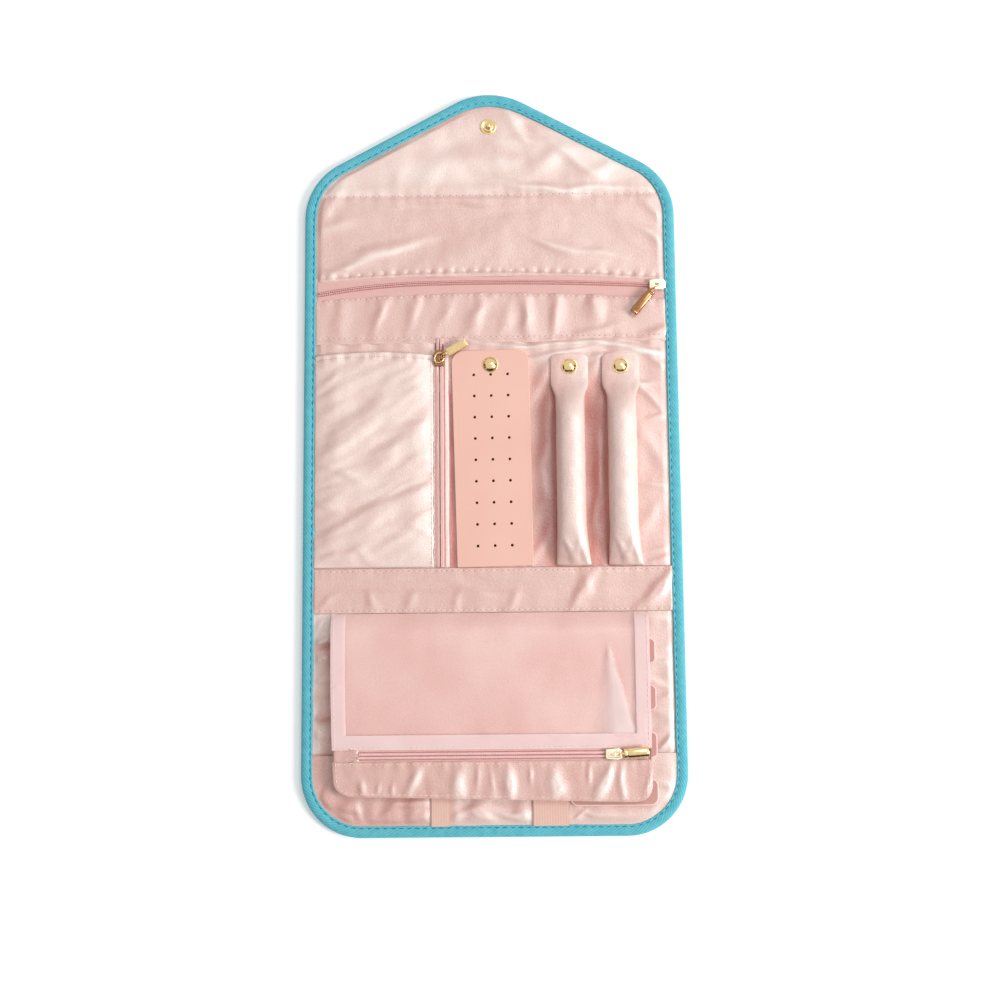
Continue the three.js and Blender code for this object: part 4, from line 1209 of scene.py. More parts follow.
class Casting:
    """Small metal parts gathered in one mesh, in millimetres about a middle, then turned into place."""

    def __init__(self, middle=(0, 0, 0), turned=0.0):
        self.shape = bmesh.new()
        self.turn = Matrix.Translation(middle) @ Matrix.Rotation(turned, 4, "Z")

    def keep(self, points, faces):
        vertices = [self.shape.verts.new(self.turn @ Vector(point)) for point in points]
        for face in faces:
            self.shape.faces.new([vertices[index] for index in face])

    def plate(self, outline, low, high, round_off):
        """A plate whose upper and lower rims are rounded off."""
        outline = np.array(outline, float)
        sides = inward(np.concatenate([outline[-1:], outline, outline[:1]]))[1:-1]
        steps = 4
        rings = []
        for step in range(steps + 1):
            angle = math.pi / 2 * step / steps
            rings.append((round_off * (1 - math.sin(angle)), low + round_off * (1 - math.cos(angle))))
        rings += [(depth, high - (height - low)) for depth, height in reversed(rings)]
        points = [(*(place + side * depth), height) for depth, height in rings
                  for place, side in zip(outline, sides)]
        self.keep(points, capped(len(rings), len(outline)))

    def tube(self, path, radius, sides=10, closed=False, flat=1.0):
        """A bar along a path in space, round or flattened."""
        path = np.array(path, float)
        ahead = np.roll(path, -1, axis=0) - np.roll(path, 1, axis=0)
        if not closed:
            ahead[0], ahead[-1] = path[1] - path[0], path[-1] - path[-2]
        points = []
        spokes = circle(sides)
        for place, along in zip(path, ahead):
            along = along / np.linalg.norm(along)
            across = np.cross(along, [0.02, 0.01, 1.0])
            across /= np.linalg.norm(across)
            up = np.cross(across, along)
            points += [place + across * radius * c + up * radius * flat * s for c, s in spokes]
        faces = capped(len(path), sides)
        if closed:
            last = (len(path) - 1) * sides
            faces = faces[:-2]
            for step in range(sides):
                after = (step + 1) % sides
                faces.append((last + step, last + after, after, step))
        self.keep(points, faces)

    def turned(self, profile, sides=56):
        """A lathe-turned shape: radius and height from the axis round to the axis again."""
        points, faces, rings = [], [], []
        for radius, height in profile:
            if radius < 1e-6:
                rings.append([len(points)])
                points.append((0, 0, height))
            else:
                rings.append(list(range(len(points), len(points) + sides)))
                points += [(radius * c, radius * s, height) for c, s in circle(sides)]
        for lower, upper in zip(rings, rings[1:]):
            for step in range(sides):
                after = (step + 1) % sides
                if len(lower) == 1:
                    faces.append((lower[0], upper[after], upper[step]))
                elif len(upper) == 1:
                    faces.append((lower[step], lower[after], upper[0]))
                else:
                    faces.append((lower[step], lower[after], upper[after], upper[step]))
        self.keep(points, faces)

    def done(self, name, body, finish, nodes=None, slot="gold_metal", sharp=40):
        """Ends the casting as one piece, its edges sharp from that many degrees."""
        bmesh.ops.recalc_face_normals(self.shape, faces=self.shape.faces)
        self.shape.transform(Matrix.Scale(MM, 4))
        mesh = bpy.data.meshes.new(name)
        self.shape.to_mesh(mesh)
        self.shape.free()
        mesh.shade_smooth()
        mesh.set_sharp_from_angle(angle=math.radians(sharp))
        add_mesh(name, mesh, body, finish, nodes)


def round_outline(corners, step=0.25):
    """A closed outline with rounded corners, from corners given anticlockwise."""
    (x0, y0, _), (x1, y1, _) = corners[-1], corners[0]
    middle = ((x0 + x1) / 2, (y0 + y1) / 2, 0)
    return rounded_path([middle, *corners, middle], step)[:-1]


def bar_outline(x0, x1, half, radius, end_radius=None):
    """The outline of a flat bar along x, its corners rounded."""
    end = end_radius or radius
    return round_outline([(x0, -half, radius), (x1, -half, end), (x1, half, end), (x0, half, radius)])


def slider(zipper, body, finish):
    """Shell over the coil, with its bail and the link that carries the puller."""
    top = zipper.level + slider_height
    part = Casting((*zipper.slider, 0), zipper.direction)
    shield = round_outline([(-4.75, -2.7, 1.2), (2.2, -3.4, 1.6), (4.75, -2.2, 1.5),
                            (4.75, 2.2, 1.5), (2.2, 3.4, 1.6), (-4.75, 2.7, 1.2)])
    part.plate(shield, top - 0.95, top, 0.35)
    crown = round_outline([(-3.6, -1.6, 0.9), (3.4, -2.0, 1.0), (3.4, 2.0, 1.0), (-3.6, 1.6, 0.9)])
    part.plate(crown, top - 0.2, top + 0.28, 0.22)
    for side in (-1, 1):
        rim = round_outline([(-4.7, 2.1, 0.3), (4.2, 2.3, 0.3), (3.0, 3.35, 0.4), (-4.7, 2.7, 0.3)])
        rim = rim * [1, side]
        part.plate(rim if side > 0 else rim[::-1], top - 2.05, top - 0.6, 0.25)
    bail = [(-1.9, -0.1), (-1.9, 1.2), (-1.6, 1.8), (-0.9, 2.0),
            (0.9, 2.0), (1.6, 1.8), (1.9, 1.2), (1.9, -0.1)]
    part.tube([(x, 0, top + height) for x, height in bail], bail_wire)
    part.turn = Matrix.Translation((*zipper.slider, 0)) @ Matrix.Rotation(zipper.puller_angle, 4, "Z")
    link = bar_outline(0.2, link_length, link_half, 0.8, 0.5)
    part.tube([(x, y, zipper.bar[2]) for x, y in link], link_wire, closed=True)
    part.done(f"{zipper.name}_slider_shell", body, finish, [f"{zipper.name}_slider"])


def puller(zipper, length, width, finish, barrel, thick=1.4):
    """A bar with an eye for the link: either a turned barrel with a collar or a flat tag."""
    half = width / 2
    part = Casting(zipper.bar, zipper.puller_angle)
    eye = [(eye_radius * c, 0, eye_radius * s) for c, s in circle(16)]
    part.tube(eye, eye_wire, closed=True, flat=1.6)
    part.plate(bar_outline(0.8, 2.6, neck_half, 0.2), -neck_half, neck_half, 0.25)
    if barrel:
        profile = [(1.8, 0.5), (1.9, 0.86), (2.3, 0.95), (3.3, 0.95), (3.6, 0.84), (3.9, 0.84), (4.2, 0.97),
                   (4.8, 1.0), (length - 1.6, 1.0), (length - 1.2, 0.93), (length - 0.9, 1.0),
                   (length - 0.4, 0.96), (length - 0.08, 0.82), (length, 0.5)]
        sides = 28
        points = [(along, half * share * c, thick * share * s)
                  for along, share in profile for c, s in circle(sides)]
        part.keep(points, capped(len(profile), sides))
    else:
        part.plate(bar_outline(1.85, length, half, 0.7), -neck_half, neck_half, 0.3)
        part.plate(bar_outline(3.2, length - 0.8, half - 0.7, 0.3), -0.85, 0.85, 0.1)
    kind = "barrel" if barrel else "tag"
    part.done(f"{zipper.name}_puller_{kind}", f"{zipper.name}_puller", finish, [f"{zipper.name}_puller"])


for zipper, finish in ((top_zip, gold_painted_lighter), (side_zip, gold_painted_darker), (pocket_zip, gold_painted_lighter)):
    slider(zipper, f"{zipper.name}_slider", finish)
bail_ring_up = 3.5
bail_ring_half = (3.1, 2.5)
bail_ring_wire = 0.55
bail_ring = Casting((*side_zip.slider, side_zip.level + bail_ring_up), math.radians(60))
bail_ring.tube([(bail_ring_half[0] * c, bail_ring_half[1] * s, 0) for c, s in circle(32)],
               bail_ring_wire, closed=True)
bail_ring.done("side_zip_bail_ring", "side_zip_slider", gold)
puller(top_zip, 19.4, 5.0, gold_painted_darker, barrel=True)
puller(side_zip, 15.0, 4.8, gold, barrel=False)
puller(pocket_zip, 16, 5.8, gold, barrel=True, thick=1.8)

lip_level = lining_level + 0.6
side_x = side_zip.slider[0]
slit_top = side_zip.slider[1] + 3
lip_stitch = (3.0, 2.1, 0.2)
lip_seam_out = 3.3
lip_seam_foot = -65
open_coil_length = 5.2
open_coil_points = 16
open_coil_wire = 0.42


def lip_surface(size, seed, lift, ridge, ridge_x, ridge_width):
    """The surface of one lip, with the soft ridge of its folded edge."""
    def surface(x, y):
        z = 0.12 * ripple(x * 3, y, size, seed) + 0.1 * ripple(x, y, 5, seed + 1)
        return lip_level + lift + z + ridge * hump((x - side_x - ridge_x) / ridge_width)
    return surface


left_lip = lip_surface(14, 63, 0.3, 0.55, -1.5, 1.1)
right_lip = lip_surface(13, 65, 0.1, 0.3, 3.1, 0.9)
for name, near, far, surface in (("left", -4.4, -0.3, left_lip), ("right", 2.3, 5.4, right_lip)):
    lip = strip(f"side_zip_lip_{name}", (side_x + near, side_x + far, panel_edges["lower"] + 0.3, slit_top),
                surface, satin, step=0.5)
    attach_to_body(lip, "middle_panel")
sew("side_zip_stitches", "middle_panel",
    [over(side_x - lip_seam_out, np.linspace(lip_seam_foot, slit_top, 120), left_lip)], lip_stitch, thread)
open_coils = Casting()
open_share = np.linspace(0, 1, open_coil_points)
for side in (-1, 1):
    reach = side * (1.0 + 0.95 * ramp(open_share * 3))
    up = slit_top + 0.5 + open_share * open_coil_length
    open_path = np.stack([side_x + reach, up, np.full(open_coil_points, lip_level + 0.5)], axis=1)
    open_coils.tube(open_path, open_coil_wire, sides=8)
# Painted shade: the open coils above the slider are coloured dark for the shadow in the slit.
open_coil_painted_shade = Finish("open_coil_painted_shade", {"Base Color": srgb(150, 82, 92), "Roughness": 0.6})
open_coils.done("side_zip_open_coils", "middle_panel", open_coil_painted_shade, slot="zip_tape")

# Slip pocket. A slack satin front with a hem along its mouth, sewn in at the left, right and bottom.
pocket_low, pocket_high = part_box("slip_pocket_front")
pocket_left, pocket_right, pocket_bottom = pocket_low.x / MM, pocket_high.x / MM, pocket_low.y / MM
pocket_middle = (pocket_left + pocket_right) / 2
pocket_reach = (pocket_right - pocket_left) / 2
mouth_y = 60.4
mouth_drop = 2.0
mouth_seam_down = 2.6
mouth_hem_width = 3.2
slack_side = 14
slack_foot = 16
slack_height = 2.2
slip_side_seam_in = 1.6
slip_stitch = (2.9, 2.1, 0.2)
slip_hole = (1.45, 0.5, 0.2)
slip_folds = [
    (-47, -17, 26, 36, 4, 0.7), (-60, 26, 31, 34, 8, 0.9), (-51, 44, -11, 32, 10, 0.7),
    (-82, 8, 35, 38, 9, 0.8), (-70, -43, 30, 32, 10, 0.8), (-78, -62, -2, 40, 5, 0.6),
]
slip_steps = [
    (-93, 12, 43, 26, 9, 1.3), (-79, 23, 36, 24, 9, 1.3), (-68, 35, 57, 24, 8, 0.9),
    (-67, 0, 38, 28, 9, 1.1), (-47, 16, 40, 42, 9, 1.1), (-96, -9, -22, 18, 4.5, -0.7),
    (-84, -14, -26, 20, 5, -0.7), (-76, -33, 19, 28, 8, 1.3), (-57, -26, 22, 28, 8, 1.5),
    (-41, -18, 37, 24, 7, 1.2), (-92, -43, 33, 31, 8, 1.1), (-96, -59, 22, 16, 5, 1.0),
    (-85, -57, 4, 15, 4.5, 1.0), (-76, -60, -29, 14, 4.5, -0.8), (-59, -62, -3, 34, 4.5, 0.7),
    (-98, 45, 31, 14, 4.5, 0.7), (-96, 25, 28, 20, 5, 0.8), (-95, -20, 7, 18, 3.5, 0.6),
    (-97, -33, -15, 13, 3.5, -0.6), (-40, -1, 15, 14, 3.5, 0.6), (-40, -35, 22, 14, 3.5, 0.6),
    (-42, -46, -16, 18, 4.5, -0.6), (-98, 36, 35, 14, 3.5, 0.5),
]


def mouth(x):
    """The pocket's upper edge, which sags at both ends."""
    return mouth_y - mouth_drop * ((x - pocket_middle) / pocket_reach) ** 2


def slip_surface(x, y):
    """Height of the slip pocket's front, which bags out between its seams."""
    side = ramp((pocket_reach - np.abs(x - pocket_middle)) / slack_side)
    foot = ramp((y - pocket_bottom) / slack_foot)
    slack = np.sin(side * math.pi / 2) * np.sin(foot * math.pi / 2)
    warp_x, warp_y = warped(x, y, (2, 2), (18, 20), 71)
    creased = 0.8 * folds(warp_x, warp_y, slip_folds) + 0.5 * steps(warp_x, warp_y, slip_steps)
    z = slack_height * slack + (0.6 + 0.4 * slack) * creased
    along, across = 0.86 * x + 0.5 * y, 0.86 * y - 0.5 * x
    z += 0.25 * slack * ripple(warp_x, warp_y, 15, 73) + 0.06 * ripple(x, y, 5, 76)
    z += 0.5 * slack * ripple(along / 3, across + 0.1 * warp_x, 6, 77)
    z += gathers(pocket_reach - np.abs(x - pocket_middle), y, 4, 6, 0.4, 74)
    hem = mouth(x) - y
    z += 0.45 * ramp(1 - hem / mouth_hem_width) + gathers(hem - mouth_seam_down, x, 2, 4, 0.6, 75)
    z -= 0.5 * hump((hem - mouth_seam_down) / 0.8)
    return lining_level + 0.7 + np.clip(z, -0.2, 4.6)


slip_step = 0.9
rows = round((mouth_y - pocket_bottom) / slip_step)
slip_x, share = np.meshgrid(np.arange(pocket_left, pocket_right, slip_step), np.linspace(0, 1, rows))
slip_y = pocket_bottom + share * (mouth(slip_x) - pocket_bottom)
slip_z = slip_surface(slip_x, slip_y)
slip_edge = np.minimum(slip_x - pocket_left, pocket_right - slip_x)
slip_z -= 0.3 * ramp(1 - slip_edge / 1.0)
# The slip pocket is painted lighter, for the brighter sheen of its satin, and part of the painted slope
# light is taken back.
slip_tone = 0.5 + 0.2 * ripple(slip_x, slip_y, 26, 135) - 0.1 * painted_slope_light(slip_x, slip_y, slip_z)
slip_front = sheet_mesh("slip_pocket_satin", slip_x, slip_y, slip_z, satin, slip_tone)
solid = slip_front.modifiers.new("cloth thickness", "SOLIDIFY")
solid.thickness = 0.5 * MM
solid.offset = -1
attach(slip_front, "middle_panel", ["slip_pocket_front"])
hem_x = np.arange(pocket_left + 1, pocket_right - 1.5, 1.0)
edge_y = np.arange(pocket_bottom + 1, mouth_y - 3, 1.0)
slip_rows = [
    over(hem_x, mouth(hem_x) - mouth_seam_down, slip_surface),
    over(pocket_right - slip_side_seam_in, edge_y, slip_surface),
]
sew("slip_pocket_stitches", "middle_panel", slip_rows, slip_stitch, thread)
sew("slip_pocket_holes", "middle_panel", slip_rows, slip_hole, needle_hole_shade)

# Card. Salmon leatherette, punched with columns of small holes, sewn in at the lower band and held
# by a cap snap at its top.
leatherette = mottled("salmon_leatherette", {"Roughness": 0.42, "Coat Weight": 0.12, "Coat Roughness": 0.3},
                      30, 2, (238, 186, 170), (245, 196, 180))
pebble = leatherette.node("ShaderNodeTexVoronoi", {
    "Vector": leatherette.place(), "Scale": 1.9, "Randomness": 1.0}, feature="F1")
leatherette.bump(pebble + leatherette.noise(0.6, 2) * 0.5, 0.03)


def box_mm(node):
    """The lowest and highest corner of a CAD node in millimetres."""
    return [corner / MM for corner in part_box(node)]


def punched(name, body, outline, holes, low, high, round_off, finish, nodes):
    """A flat piece cut from sheet stock, its rims rounded off, with round holes through it."""
    curve = bpy.data.curves.new(name, "CURVE")
    curve.dimensions = "2D"
    curve.fill_mode = "BOTH"
    curve.extrude = ((high - low) / 2 - round_off) * MM
    curve.bevel_depth = round_off * MM
    curve.offset = -round_off * MM
    curve.bevel_resolution = 2
    rings = [outline] + [[(x + radius * c, y + radius * s) for c, s in circle(16)] for x, y, radius in holes]
    for ring in rings:
        spline = curve.splines.new("POLY")
        spline.points.add(len(ring) - 1)
        for point, (x, y) in zip(spline.points, ring):
            point.co = (x * MM, y * MM, 0, 1)
        spline.use_cyclic_u = True
    shell = bpy.data.objects.new(name, curve)
    mesh = bpy.data.meshes.new_from_object(shell)
    mesh.transform(Matrix.Translation((0, 0, (low + high) / 2 * MM)))
    bpy.data.objects.remove(shell)
    mesh.name = name
    mesh.shade_smooth()
    mesh.set_sharp_from_angle(angle=math.radians(35))
    add_mesh(name, mesh, body, finish, nodes)


card_low, card_high = box_mm("earring_card")
card_middle = (card_low.x + card_high.x) / 2
card_swing = math.radians(1.0)
card_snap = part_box("earring_card_snap_cap")
pivot = np.array([card_middle, (card_snap[0].y + card_snap[1].y) / 2 / MM])


def swung(points):
    """The card hangs a little askew from its snap."""
    c, s = math.cos(card_swing), math.sin(card_swing)
    away = np.asarray(points, float) - pivot
    return pivot + np.stack([away[:, 0] * c - away[:, 1] * s, away[:, 0] * s + away[:, 1] * c], axis=1)


card_spread = 0.8
card_top_radius = 7.5
card_outline = swung(round_outline([
    (card_low.x, card_low.y, 0.3), (card_high.x, card_low.y, 0.3),
    (card_high.x + card_spread, card_high.y + card_spread, card_top_radius),
    (card_low.x - card_spread, card_high.y + card_spread, card_top_radius)], 0.8))
hole_columns = 3
hole_column_pitch = 9.9
hole_row_pitch = 12.6
hole_first_row = 13.8
hole_rows = 9
card_holes = swung([
    (card_middle + (column - 1) * hole_column_pitch, card_high.y - hole_first_row - row * hole_row_pitch)
    for row in range(hole_rows) for column in range(hole_columns)
])
hole_radius = 0.8
card_holes = [(x, y, hole_radius) for x, y in card_holes]
punched("hole_card", "earring_panel", card_outline, card_holes, card_low.z, card_high.z, 0.28,
        leatherette, ["earring_card"])
# Painted shadow: a dark disc at the bottom of each hole stands in for the shade inside it.
hole_painted_shadow = Finish("hole_painted_shadow", {"Base Color": srgb(58, 26, 26), "Roughness": 0.9})
hole_shadow_discs = Casting()
for x, y, _ in card_holes:
    ring = [(x + (hole_radius + 0.1) * c, y + (hole_radius + 0.1) * s) for c, s in circle(12)]
    hole_shadow_discs.plate(ring, card_low.z + 0.2, card_low.z + 0.4, 0.05)
hole_shadow_discs.done("hole_card_hole_shadows", "earring_panel", hole_painted_shadow, slot="leatherette")

# Stuffed rolls. Two satin tubes filled with wadding. Each ends in a flat tab that a cap snap holds
# down, and its other end is pressed flat and sewn in under the lower band.
roll_tab_width = 22.3
roll_width = 16.8
roll_flare = 3.6
roll_foot_shift = 1.2
tab_corner = 3.6
tab_thickness = 2.2
roll_thickness = 13.2
roll_foot_length = 30
roll_foot_rise = 26
roll_neck_start = 42
roll_neck_rise = 28
roll_waist_down = 17
roll_waist_length = 11
roll_tab_length = 12


def roll(side, seed):
    """One roll: rings of points from its sewn foot to its tab, which swell from flat to round between."""
    name = f"ring_roll_{side}"
    low, high = box_mm(name)
    middle = (low.x + high.x) / 2
    sides = 48
    lengths = np.concatenate([
        np.linspace(low.y, low.y + roll_foot_length, 34),
        np.linspace(low.y + roll_foot_length + 1, high.y - roll_neck_start, 56),
        np.linspace(high.y - roll_neck_start + 1, high.y - roll_tab_length, 34),
        high.y - 11 + 11 * np.sin(np.linspace(0.05, 1, 16) * math.pi / 2)])
    points = []
    for y in lengths:
        foot = ramp((y - low.y) / roll_foot_rise)
        neck = ramp((high.y - roll_tab_length - y) / roll_neck_rise)
        plump = math.sin(foot * math.pi / 2) ** 1.2 * (0.5 - 0.5 * math.cos(neck * math.pi))
        waist = 0.5 - 0.5 * math.cos(ramp((high.y - roll_waist_down - y) / roll_waist_length) * math.pi)
        flare = (1 - foot) ** 1.6
        width = roll_tab_width * (1 - waist) + (roll_width + roll_flare * flare) * waist
        corner = ramp((y - (high.y - tab_corner)) / tab_corner)
        width -= 2 * tab_corner * (1 - math.sqrt(max(0.0, 1 - corner ** 2)))
        thickness = tab_thickness + (roll_thickness - tab_thickness) * plump
        power = 0.55 + 0.4 * plump
        centre = middle + roll_foot_shift * flare
        up = y - low.y
        for step in range(sides):
            angle = 2 * math.pi * step / sides
            c, s = math.cos(angle), math.sin(angle)
            lump = 1 + plump * 0.02 * float(ripple(y, 4 * angle, 9, seed))
            across = width / 2 * lump * math.copysign(abs(c) ** power, c)
            x = centre + across
            z = low.z + thickness / 2 + thickness / 2 * lump * math.copysign(abs(s) ** power, s)
            if s > 0:
                pleats = 1.3 * hump((across - 0.35 * up + 1) / 1.5)
                pleats += 1.3 * hump((across + 0.45 * up - 2) / 1.5)
                pleats += 0.9 * hump((across - 8 + 0.3 * up) / 1.4)
                relief = pleats * hump((up - 7) / 7)
                dip = hump((abs(across) - 6) / 2.2)
                relief -= 0.5 * dip * hump((y - high.y + 24) / 6)
                relief += 0.22 * (1 - plump) * float(ripple(x, y, 5, seed + 2))
                relief += 0.2 * plump * float(ripple(x, y, 7, seed + 4))
                z += s * relief
            points.append((x, y, max(low.z, z)))
    points = np.array(points)
    # Painted light: the stuffed tube is lighter than its ends, and its right side, towards the key lamp,
    # lighter than its left.
    tube_light = ramp((high.y - 24 - points[:, 1]) / 14) * ramp((points[:, 1] - low.y) / 14)
    centre = middle + roll_foot_shift * ramp(1 - (points[:, 1] - low.y) / roll_foot_rise)
    run = np.zeros_like(points)
    run[:, 0] = 0.45 * tube_light + 0.05 + 0.4 * (points[:, 0] - centre) / (roll_width / 2)
    piece = add_piece(f"stuffed_roll_{side}", points, capped(len(lengths), sides), satin, run)
    smooth = piece.modifiers.new("smooth", "SUBSURF")
    smooth.levels = smooth.render_levels = 1
    attach(piece, name, [name])


roll("left", 81)
roll("right", 82)

# Press studs. Domed brass caps, plated bright gold, on the card and the rolls, with their studs set
# through the lining. The flap has the larger stud, whose back shows on the cover.
cap_lift = 0.5
cap_height = 2.0
cap_steepest = math.radians(56)
cap_post_radius = 2.6
cap_bore_radius = 1.8


def turned_over(node):
    """A part to be turned about a CAD node's upright axis, and the node's lowest and highest corner."""
    low, high = box_mm(node)
    return Casting(((low.x + high.x) / 2, (low.y + high.y) / 2, 0)), low, high


def cap(node, body):
    """A cap: its dome is part of a ball, over a rolled rim and the hollow post below."""
    part, low, high = turned_over(node)
    radius = (high.x - low.x) / 2
    top = high.z + cap_lift
    seat = top - cap_height
    ball = radius * 0.9 / math.sin(cap_steepest)
    dome = [(ball * math.sin(a), top - ball * (1 - math.cos(a))) for a in np.linspace(0, cap_steepest, 20)]
    rim = [(radius * 0.91, seat + 0.2), (radius * 0.97, seat + 0.2), (radius, seat + 0.1), (radius, seat)]
    post = [(cap_post_radius, seat), (cap_post_radius, low.z), (cap_bore_radius, low.z),
            (cap_bore_radius, seat + 0.1), (0, seat + 0.1)]
    part.turned(dome + rim + post, sides=96)
    part.done(f"{node}_dome", body, gold, [node], sharp=80)


def stud(node, body):
    """A stud: a waisted post on a flat flange."""
    part, low, high = turned_over(node)
    radius = (high.x - low.x) / 2
    part.turned([
        (0, high.z), (1.0, high.z), (1.3, high.z - 0.2), (1.4, high.z - 0.6), (1.25, low.z + 0.35),
        (1.6, low.z + 0.25), (radius - 0.4, low.z + 0.25), (radius, low.z + 0.1), (radius, low.z),
        (0, low.z)])
    part.done(f"{node}_post", body, gold, [node])


for node, body in (("earring_card", "earring_panel"), ("ring_roll_left", "ring_roll_left"),
                   ("ring_roll_right", "ring_roll_right")):
    cap(f"{node}_snap_cap", body)
    stud(f"{node}_snap_stud", "middle_panel")

flap_part, _, flap_high = turned_over("flap_snap_stud")
rim_top = lining_level + 0.7
flap_part.turned([
    (0, flap_high.z), (0.9, flap_high.z - 0.05), (1.5, flap_high.z - 0.45), (1.75, flap_high.z - 1.1),
    (1.6, rim_top + 0.5), (1.9, rim_top + 0.1), (2.6, rim_top - 0.25), (3.2, rim_top - 0.2),
    (3.7, rim_top + 0.15), (4.3, rim_top + 0.25), (4.8, rim_top), (5.0, lining_level + 0.1),
    (1.9, lining_level), (1.9, 0.9), (5.9, 0.85), (6.0, 0.6), (5.7, 0.15), (4.5, 0.02), (0, 0.02)])
flap_part.done("flap_stud_turned", "top_panel", gold, ["flap_snap_stud"])
socket_part, _, _ = turned_over("flap_snap_socket")
socket_part.turned([
    (0, 1.4), (2.5, 1.4), (2.6, 1.1), (2.6, 0.25), (2.9, 0.02), (4.2, 0.02), (4.6, 0.2), (5.2, 0.15),
    (5.8, 0.3), (6.0, 0.6), (5.9, 1.0), (5.0, 1.8), (0, 1.8)])
socket_part.done("flap_socket_turned", "bottom_panel", gold, ["flap_snap_socket"])

# Bottom panel. A low slip pocket, two elastic straps sewn down at both ends, and a leatherette board
# whose right side is cut into four round fingers.
sheet_low, sheet_high = box_mm("bottom_slip_pocket_front")
strap_boxes = {node: box_mm(node) for node in ("elastic_strap_wide", "elastic_strap_narrow")}
low_folds = [
    (-47, -200, 3, 30, 5, 1.1), (-42, -207, 17, 18, 4, 1.0), (-77, -206, -78, 12, 4, 1.0),
    (-62, -206, 38, 14, 4, 1.0), (-84, -202, -13, 18, 5, 1.1), (-19, -206, 22, 16, 4, 1.1),
    (-8, -206, -25, 19, 5, 1.1), (5, -206, -15, 18, 4, 1.1), (15, -207, 3, 18, 4, 1.0),
    (43, -209, -53, 6, 2.2, 0.8), (47, -208, 39, 12, 2.4, 0.9), (53, -206, -18, 10, 2.4, 0.9),
    (61, -207, 0, 15, 2.6, 0.8), (75, -207, 6, 26, 4, 0.8), (85, -210, 8, 26, 4, 0.7),
    (98, -191, -19, 16, 4, 0.8), (97, -197, 7, 16, 4, 0.7), (-95, -190, 62, 24, 6, 0.8),
    (-100, -178, 20, 14, 4, 0.7),
]
low_steps = [
    (-93, -188, 62, 34, 12, 1.5), (-84, -200, 70, 26, 10, 1.2), (-72, -205, 78, 22, 10, 1.1),
    (-60, -205, 82, 22, 10, 1.0), (-49, -206, 80, 20, 8, 0.9), (-14, -206, 70, 18, 8, 0.6),
    (12, -206, 80, 18, 8, 0.6),
]


def low_pocket_surface(x, y):
    """Height of the low pocket's front. Each strap presses it flat."""
    foot = ramp((y - sheet_low.y) / 12)
    z = 0.5 * ripple(x, y / 2, 11, 91) + gathers(y - sheet_low.y, x, 8, 7, 0.7, 92)
    z += folds(x, y, low_folds) + steps(x, y, low_steps)
    z = np.clip(z, -0.35, 1.6) * (0.5 + 0.5 * foot)
    for low, high in strap_boxes.values():
        beside = ramp((np.abs(x - (low.x + high.x) / 2) - (high.x - low.x) / 2) / 4)
        z = z * beside - 0.2 * (1 - beside)
    return sheet_high.z + 0.25 + sewn_edge(x, y, z, 0.0) - lining_level


def low_pocket_tone(x, y, z):
    """Painted shade under the page, left of the narrow strap; to its right, painted highlights on the folds,
    paler near the right edge, and a painted shadow just below the page's foot.
    """
    left = ramp((-20 - x) / 30)
    right = ramp((x + 25) / 8)
    tone = 0.1 - left * (0.6 + 0.15 * ripple(x, y, 14, 136) + 0.6 * painted_slope_light(x, y, z))
    tone += 0.35 * folds(x, y, low_folds) * right + 0.3 * ramp((x - 84) / 6)
    return tone + 0.3 * right * (ramp((-y - 203) / 3) - ramp((-y - 199) / 2))


share, low_y = grid(-1, 1, sheet_low.y - 0.2, sheet_high.y, 1.0, across=200)
low_x = share * half_width(low_y, lining_inset)
low_z = low_pocket_surface(low_x, low_y)
low_tone = low_pocket_tone(low_x, low_y, low_z)
low_pocket = sheet_mesh("bottom_pocket_satin", low_x, low_y, low_z, satin, low_tone)
attach(low_pocket, "bottom_panel", ["bottom_slip_pocket_front"])

webbing = Finish("elastic_webbing", {"Roughness": 0.7})
strap_x, strap_y, _ = webbing.axes()
strap_rib = strap_x.wave(1.5)
strap_knit = strap_y.wave(0.8)
webbing.feed({"Base Color": webbing.blend(strap_rib * 0.4 + webbing.noise(2, 2) * 0.6,
                                          srgb(226, 182, 166), srgb(238, 200, 184))})
webbing.bump(strap_rib + strap_knit * 0.4, 0.04)
webbing_thickness = 0.6
for node, (low, high) in strap_boxes.items():
    x, y = grid(low.x, high.x, low.y, high.y, 0.7)
    z = np.full_like(x, high.z + 0.5)
    piece = slab(f"{node}_webbing", x, y, z - webbing_thickness, z, webbing)
    attach(piece, "bottom_panel", [node])

board_low, board_high = box_mm("necklace_board")
board_leather = mottled("dusty_leatherette", {"Roughness": 0.5}, 12, 3, (196, 144, 136), (212, 162, 152))
board_leather.bump(board_leather.noise(0.7, 2), 0.05)
finger_count = 4
finger_width = 14.6
finger_reach = 10.0
finger_radius = 3.2
notch_radius = 3.5
finger_pitch = (board_high.y - board_low.y - finger_width) / (finger_count - 1)
board_corners = [(board_low.x, board_low.y, 4), (board_high.x, board_low.y, 4.5)]
for finger in range(finger_count):
    base = board_low.y + finger * finger_pitch
    if finger:
        board_corners.append((board_high.x - finger_reach, base, notch_radius))
        board_corners.append((board_high.x, base, finger_radius))
    board_corners.append((board_high.x, base + finger_width, finger_radius))
    if finger < finger_count - 1:
        board_corners.append((board_high.x - finger_reach, base + finger_width, notch_radius))
board_corners.append((board_low.x, board_high.y, 4))
board_outline = round_outline(board_corners, 0.7)
punched("finger_board", "bottom_panel", board_outline, [], board_low.z, board_high.z, 0.3,
        board_leather, ["necklace_board"])
edge_paint = Finish("pale_edge_paint", {"Base Color": srgb(248, 216, 206), "Roughness": 0.5})
board_rim = Casting()
inner_line = board_outline + inward(board_outline) * 0.35
board_rim.tube([(x, y, board_high.z - 0.1) for x, y in inner_line], 0.42, sides=8, closed=True, flat=0.7)
